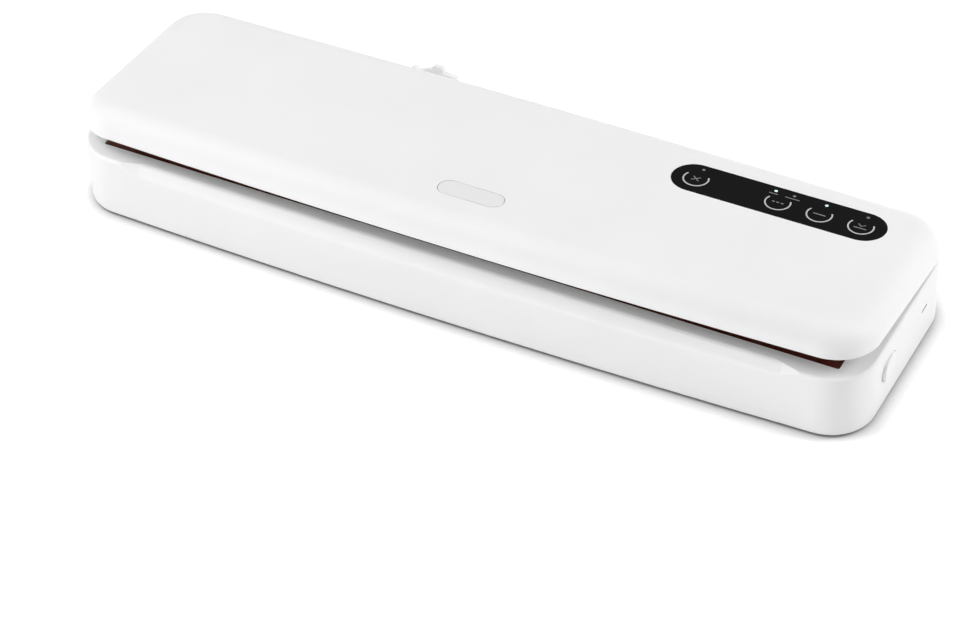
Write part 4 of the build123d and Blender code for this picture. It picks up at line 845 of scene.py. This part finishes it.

# Stage: white floor that keeps the shadow and has a painted contact shadow, white surround, soft lamps,
# camera
FLOOR_HALF = 4.0
FLOOR_ALBEDO = 0.97
FLOOR_LIFT = 0.25
FLOOR_LIFT_FAR = 0.9
FLOOR_NEAR = 0.45
FLOOR_FAR = 1.4
# Painted contact shadow on the floor: its reach in metres, its strength as a power, its samples
PAINTED_SHADE_REACH = 0.0085
PAINTED_SHADE_DEPTH = 0.82
PAINTED_SHADE_SAMPLES = 4
LAMP_DISTANCE = 1.5
LAMP_TARGET = (0.0, 0.0, 0.025)
LOW_BOX = (0.7, 0.3)
SQUARE_BOX = (0.7, 0.7)
# Name, degrees round from the front towards the right, degrees up, size in metres, watts
LAMPS = (
    ("front_low", 0, 8, LOW_BOX, 5.6),
    ("front_right_low", 30, 8, LOW_BOX, 1.0),
    ("front_right_high", 30, 55, SQUARE_BOX, 2.3),
    ("back_right_low", 120, 8, LOW_BOX, 1.3),
    ("back_right", 120, 30, SQUARE_BOX, 14.5),
    ("back_high", 200, 55, SQUARE_BOX, 3.3),
    ("back_left_low", 240, 8, LOW_BOX, 1.4),
    ("left", 270, 30, SQUARE_BOX, 1.0),
    ("front_left", 300, 30, SQUARE_BOX, 4.0),
    ("front_left_high", 300, 55, SQUARE_BOX, 9.6),
    ("front_high", 330, 55, SQUARE_BOX, 1.2),
)


def seen_directly(tree):
    """1 for rays from the camera, mirrors and glass, 0 for light on the object."""
    path = tree.nodes.new("ShaderNodeLightPath").outputs
    first = math_node(tree, "MAXIMUM", path["Is Camera Ray"], path["Is Glossy Ray"])
    return math_node(tree, "MAXIMUM", first, path["Is Transmission Ray"])


def floor_material():
    """White, with a painted contact shadow: an occlusion factor darkens its colour and its own light
    close around what stands on it. A little light of its own, seen only directly and stronger away from
    the middle, lifts the rest to white.
    """
    material = bpy.data.materials.new("floor_white")
    material.use_nodes = True
    tree = material.node_tree
    tree.nodes.clear()
    out = tree.nodes.new("ShaderNodeOutputMaterial")
    diffuse = tree.nodes.new("ShaderNodeBsdfDiffuse")
    # Painted contact shadow: ambient occlusion darkens the floor's colour and its own light close around
    # the object
    near = tree.nodes.new("ShaderNodeAmbientOcclusion")
    near.samples = PAINTED_SHADE_SAMPLES
    near.inputs["Distance"].default_value = PAINTED_SHADE_REACH
    painted_contact_shade = math_node(tree, "POWER", near.outputs["AO"], PAINTED_SHADE_DEPTH)
    tree.links.new(math_node(tree, "MULTIPLY", painted_contact_shade, FLOOR_ALBEDO), diffuse.inputs["Color"])
    glow = tree.nodes.new("ShaderNodeEmission")
    distance = tree.nodes.new("ShaderNodeVectorMath")
    distance.operation = "LENGTH"
    tree.links.new(object_coords(tree), distance.inputs[0])
    lift = tree.nodes.new("ShaderNodeMapRange")
    lift.interpolation_type = "SMOOTHSTEP"
    lift.inputs["From Min"].default_value = FLOOR_NEAR
    lift.inputs["From Max"].default_value = FLOOR_FAR
    lift.inputs["To Min"].default_value = FLOOR_LIFT
    lift.inputs["To Max"].default_value = FLOOR_LIFT_FAR
    tree.links.new(distance.outputs["Value"], lift.inputs["Value"])
    glow_level = math_node(tree, "MULTIPLY", seen_directly(tree), lift.outputs["Result"])
    glow_level = math_node(tree, "MULTIPLY", glow_level, painted_contact_shade)
    tree.links.new(glow_level, glow.inputs["Strength"])
    both = tree.nodes.new("ShaderNodeAddShader")
    tree.links.new(diffuse.outputs["BSDF"], both.inputs[0])
    tree.links.new(glow.outputs["Emission"], both.inputs[1])
    tree.links.new(both.outputs["Shader"], out.inputs["Surface"])
    return material


def floor():
    """A level sheet under the object."""
    bm = bmesh.new()
    bmesh.ops.create_grid(bm, x_segments=1, y_segments=1, size=FLOOR_HALF)
    mesh = made_mesh("floor", bm)
    mesh.materials.append(floor_material())
    obj = linked("floor", mesh)


def surround():
    """White all round where it is seen, and no light of its own on the object."""
    world = bpy.data.worlds.new("surround")
    bpy.context.scene.world = world
    world.use_nodes = True
    tree = world.node_tree
    tree.nodes.clear()
    out = tree.nodes.new("ShaderNodeOutputWorld")
    back = tree.nodes.new("ShaderNodeBackground")
    tree.links.new(seen_directly(tree), back.inputs["Strength"])
    tree.links.new(back.outputs["Background"], out.inputs["Surface"])


def softbox(name, round_deg, up_deg, size, power):
    """An area lamp that faces the object from one direction."""
    lamp = bpy.data.lights.new(name, "AREA")
    lamp.shape = "RECTANGLE"
    lamp.size = size[0]
    lamp.size_y = size[1]
    lamp.energy = power
    turn = math.radians(round_deg)
    up = math.radians(up_deg)
    out = Vector((math.cos(up) * math.sin(turn), -math.cos(up) * math.cos(turn), math.sin(up)))
    obj = linked(name, lamp)
    obj.location = out * LAMP_DISTANCE
    aim = Vector(LAMP_TARGET) - obj.location
    obj.rotation_euler = aim.to_track_quat("-Z", "Y").to_euler()


def camera():
    """The photograph's view, with its slight roll."""
    data = bpy.data.cameras.new("camera")
    data.lens = CAMERA_LENS
    data.sensor_width = CAMERA_SENSOR
    data.sensor_fit = "HORIZONTAL"
    spot = Vector(CAMERA_PLACE)
    forward = (Vector(CAMERA_TARGET) - spot).normalized()
    level_right = forward.cross(Vector((0, 0, 1))).normalized()
    level_up = level_right.cross(forward)
    roll = math.radians(CAMERA_ROLL)
    right = level_right * math.cos(roll) + level_up * math.sin(roll)
    up = level_up * math.cos(roll) - level_right * math.sin(roll)
    turn = Matrix((right, up, -forward)).transposed().to_4x4()
    obj = linked("camera", data)
    obj.matrix_world = Matrix.Translation(spot) @ turn
    bpy.context.scene.camera = obj


floor()
surround()
for lamp in LAMPS:
    softbox(*lamp)
camera()
bpy.context.scene.view_settings.view_transform = "Standard"
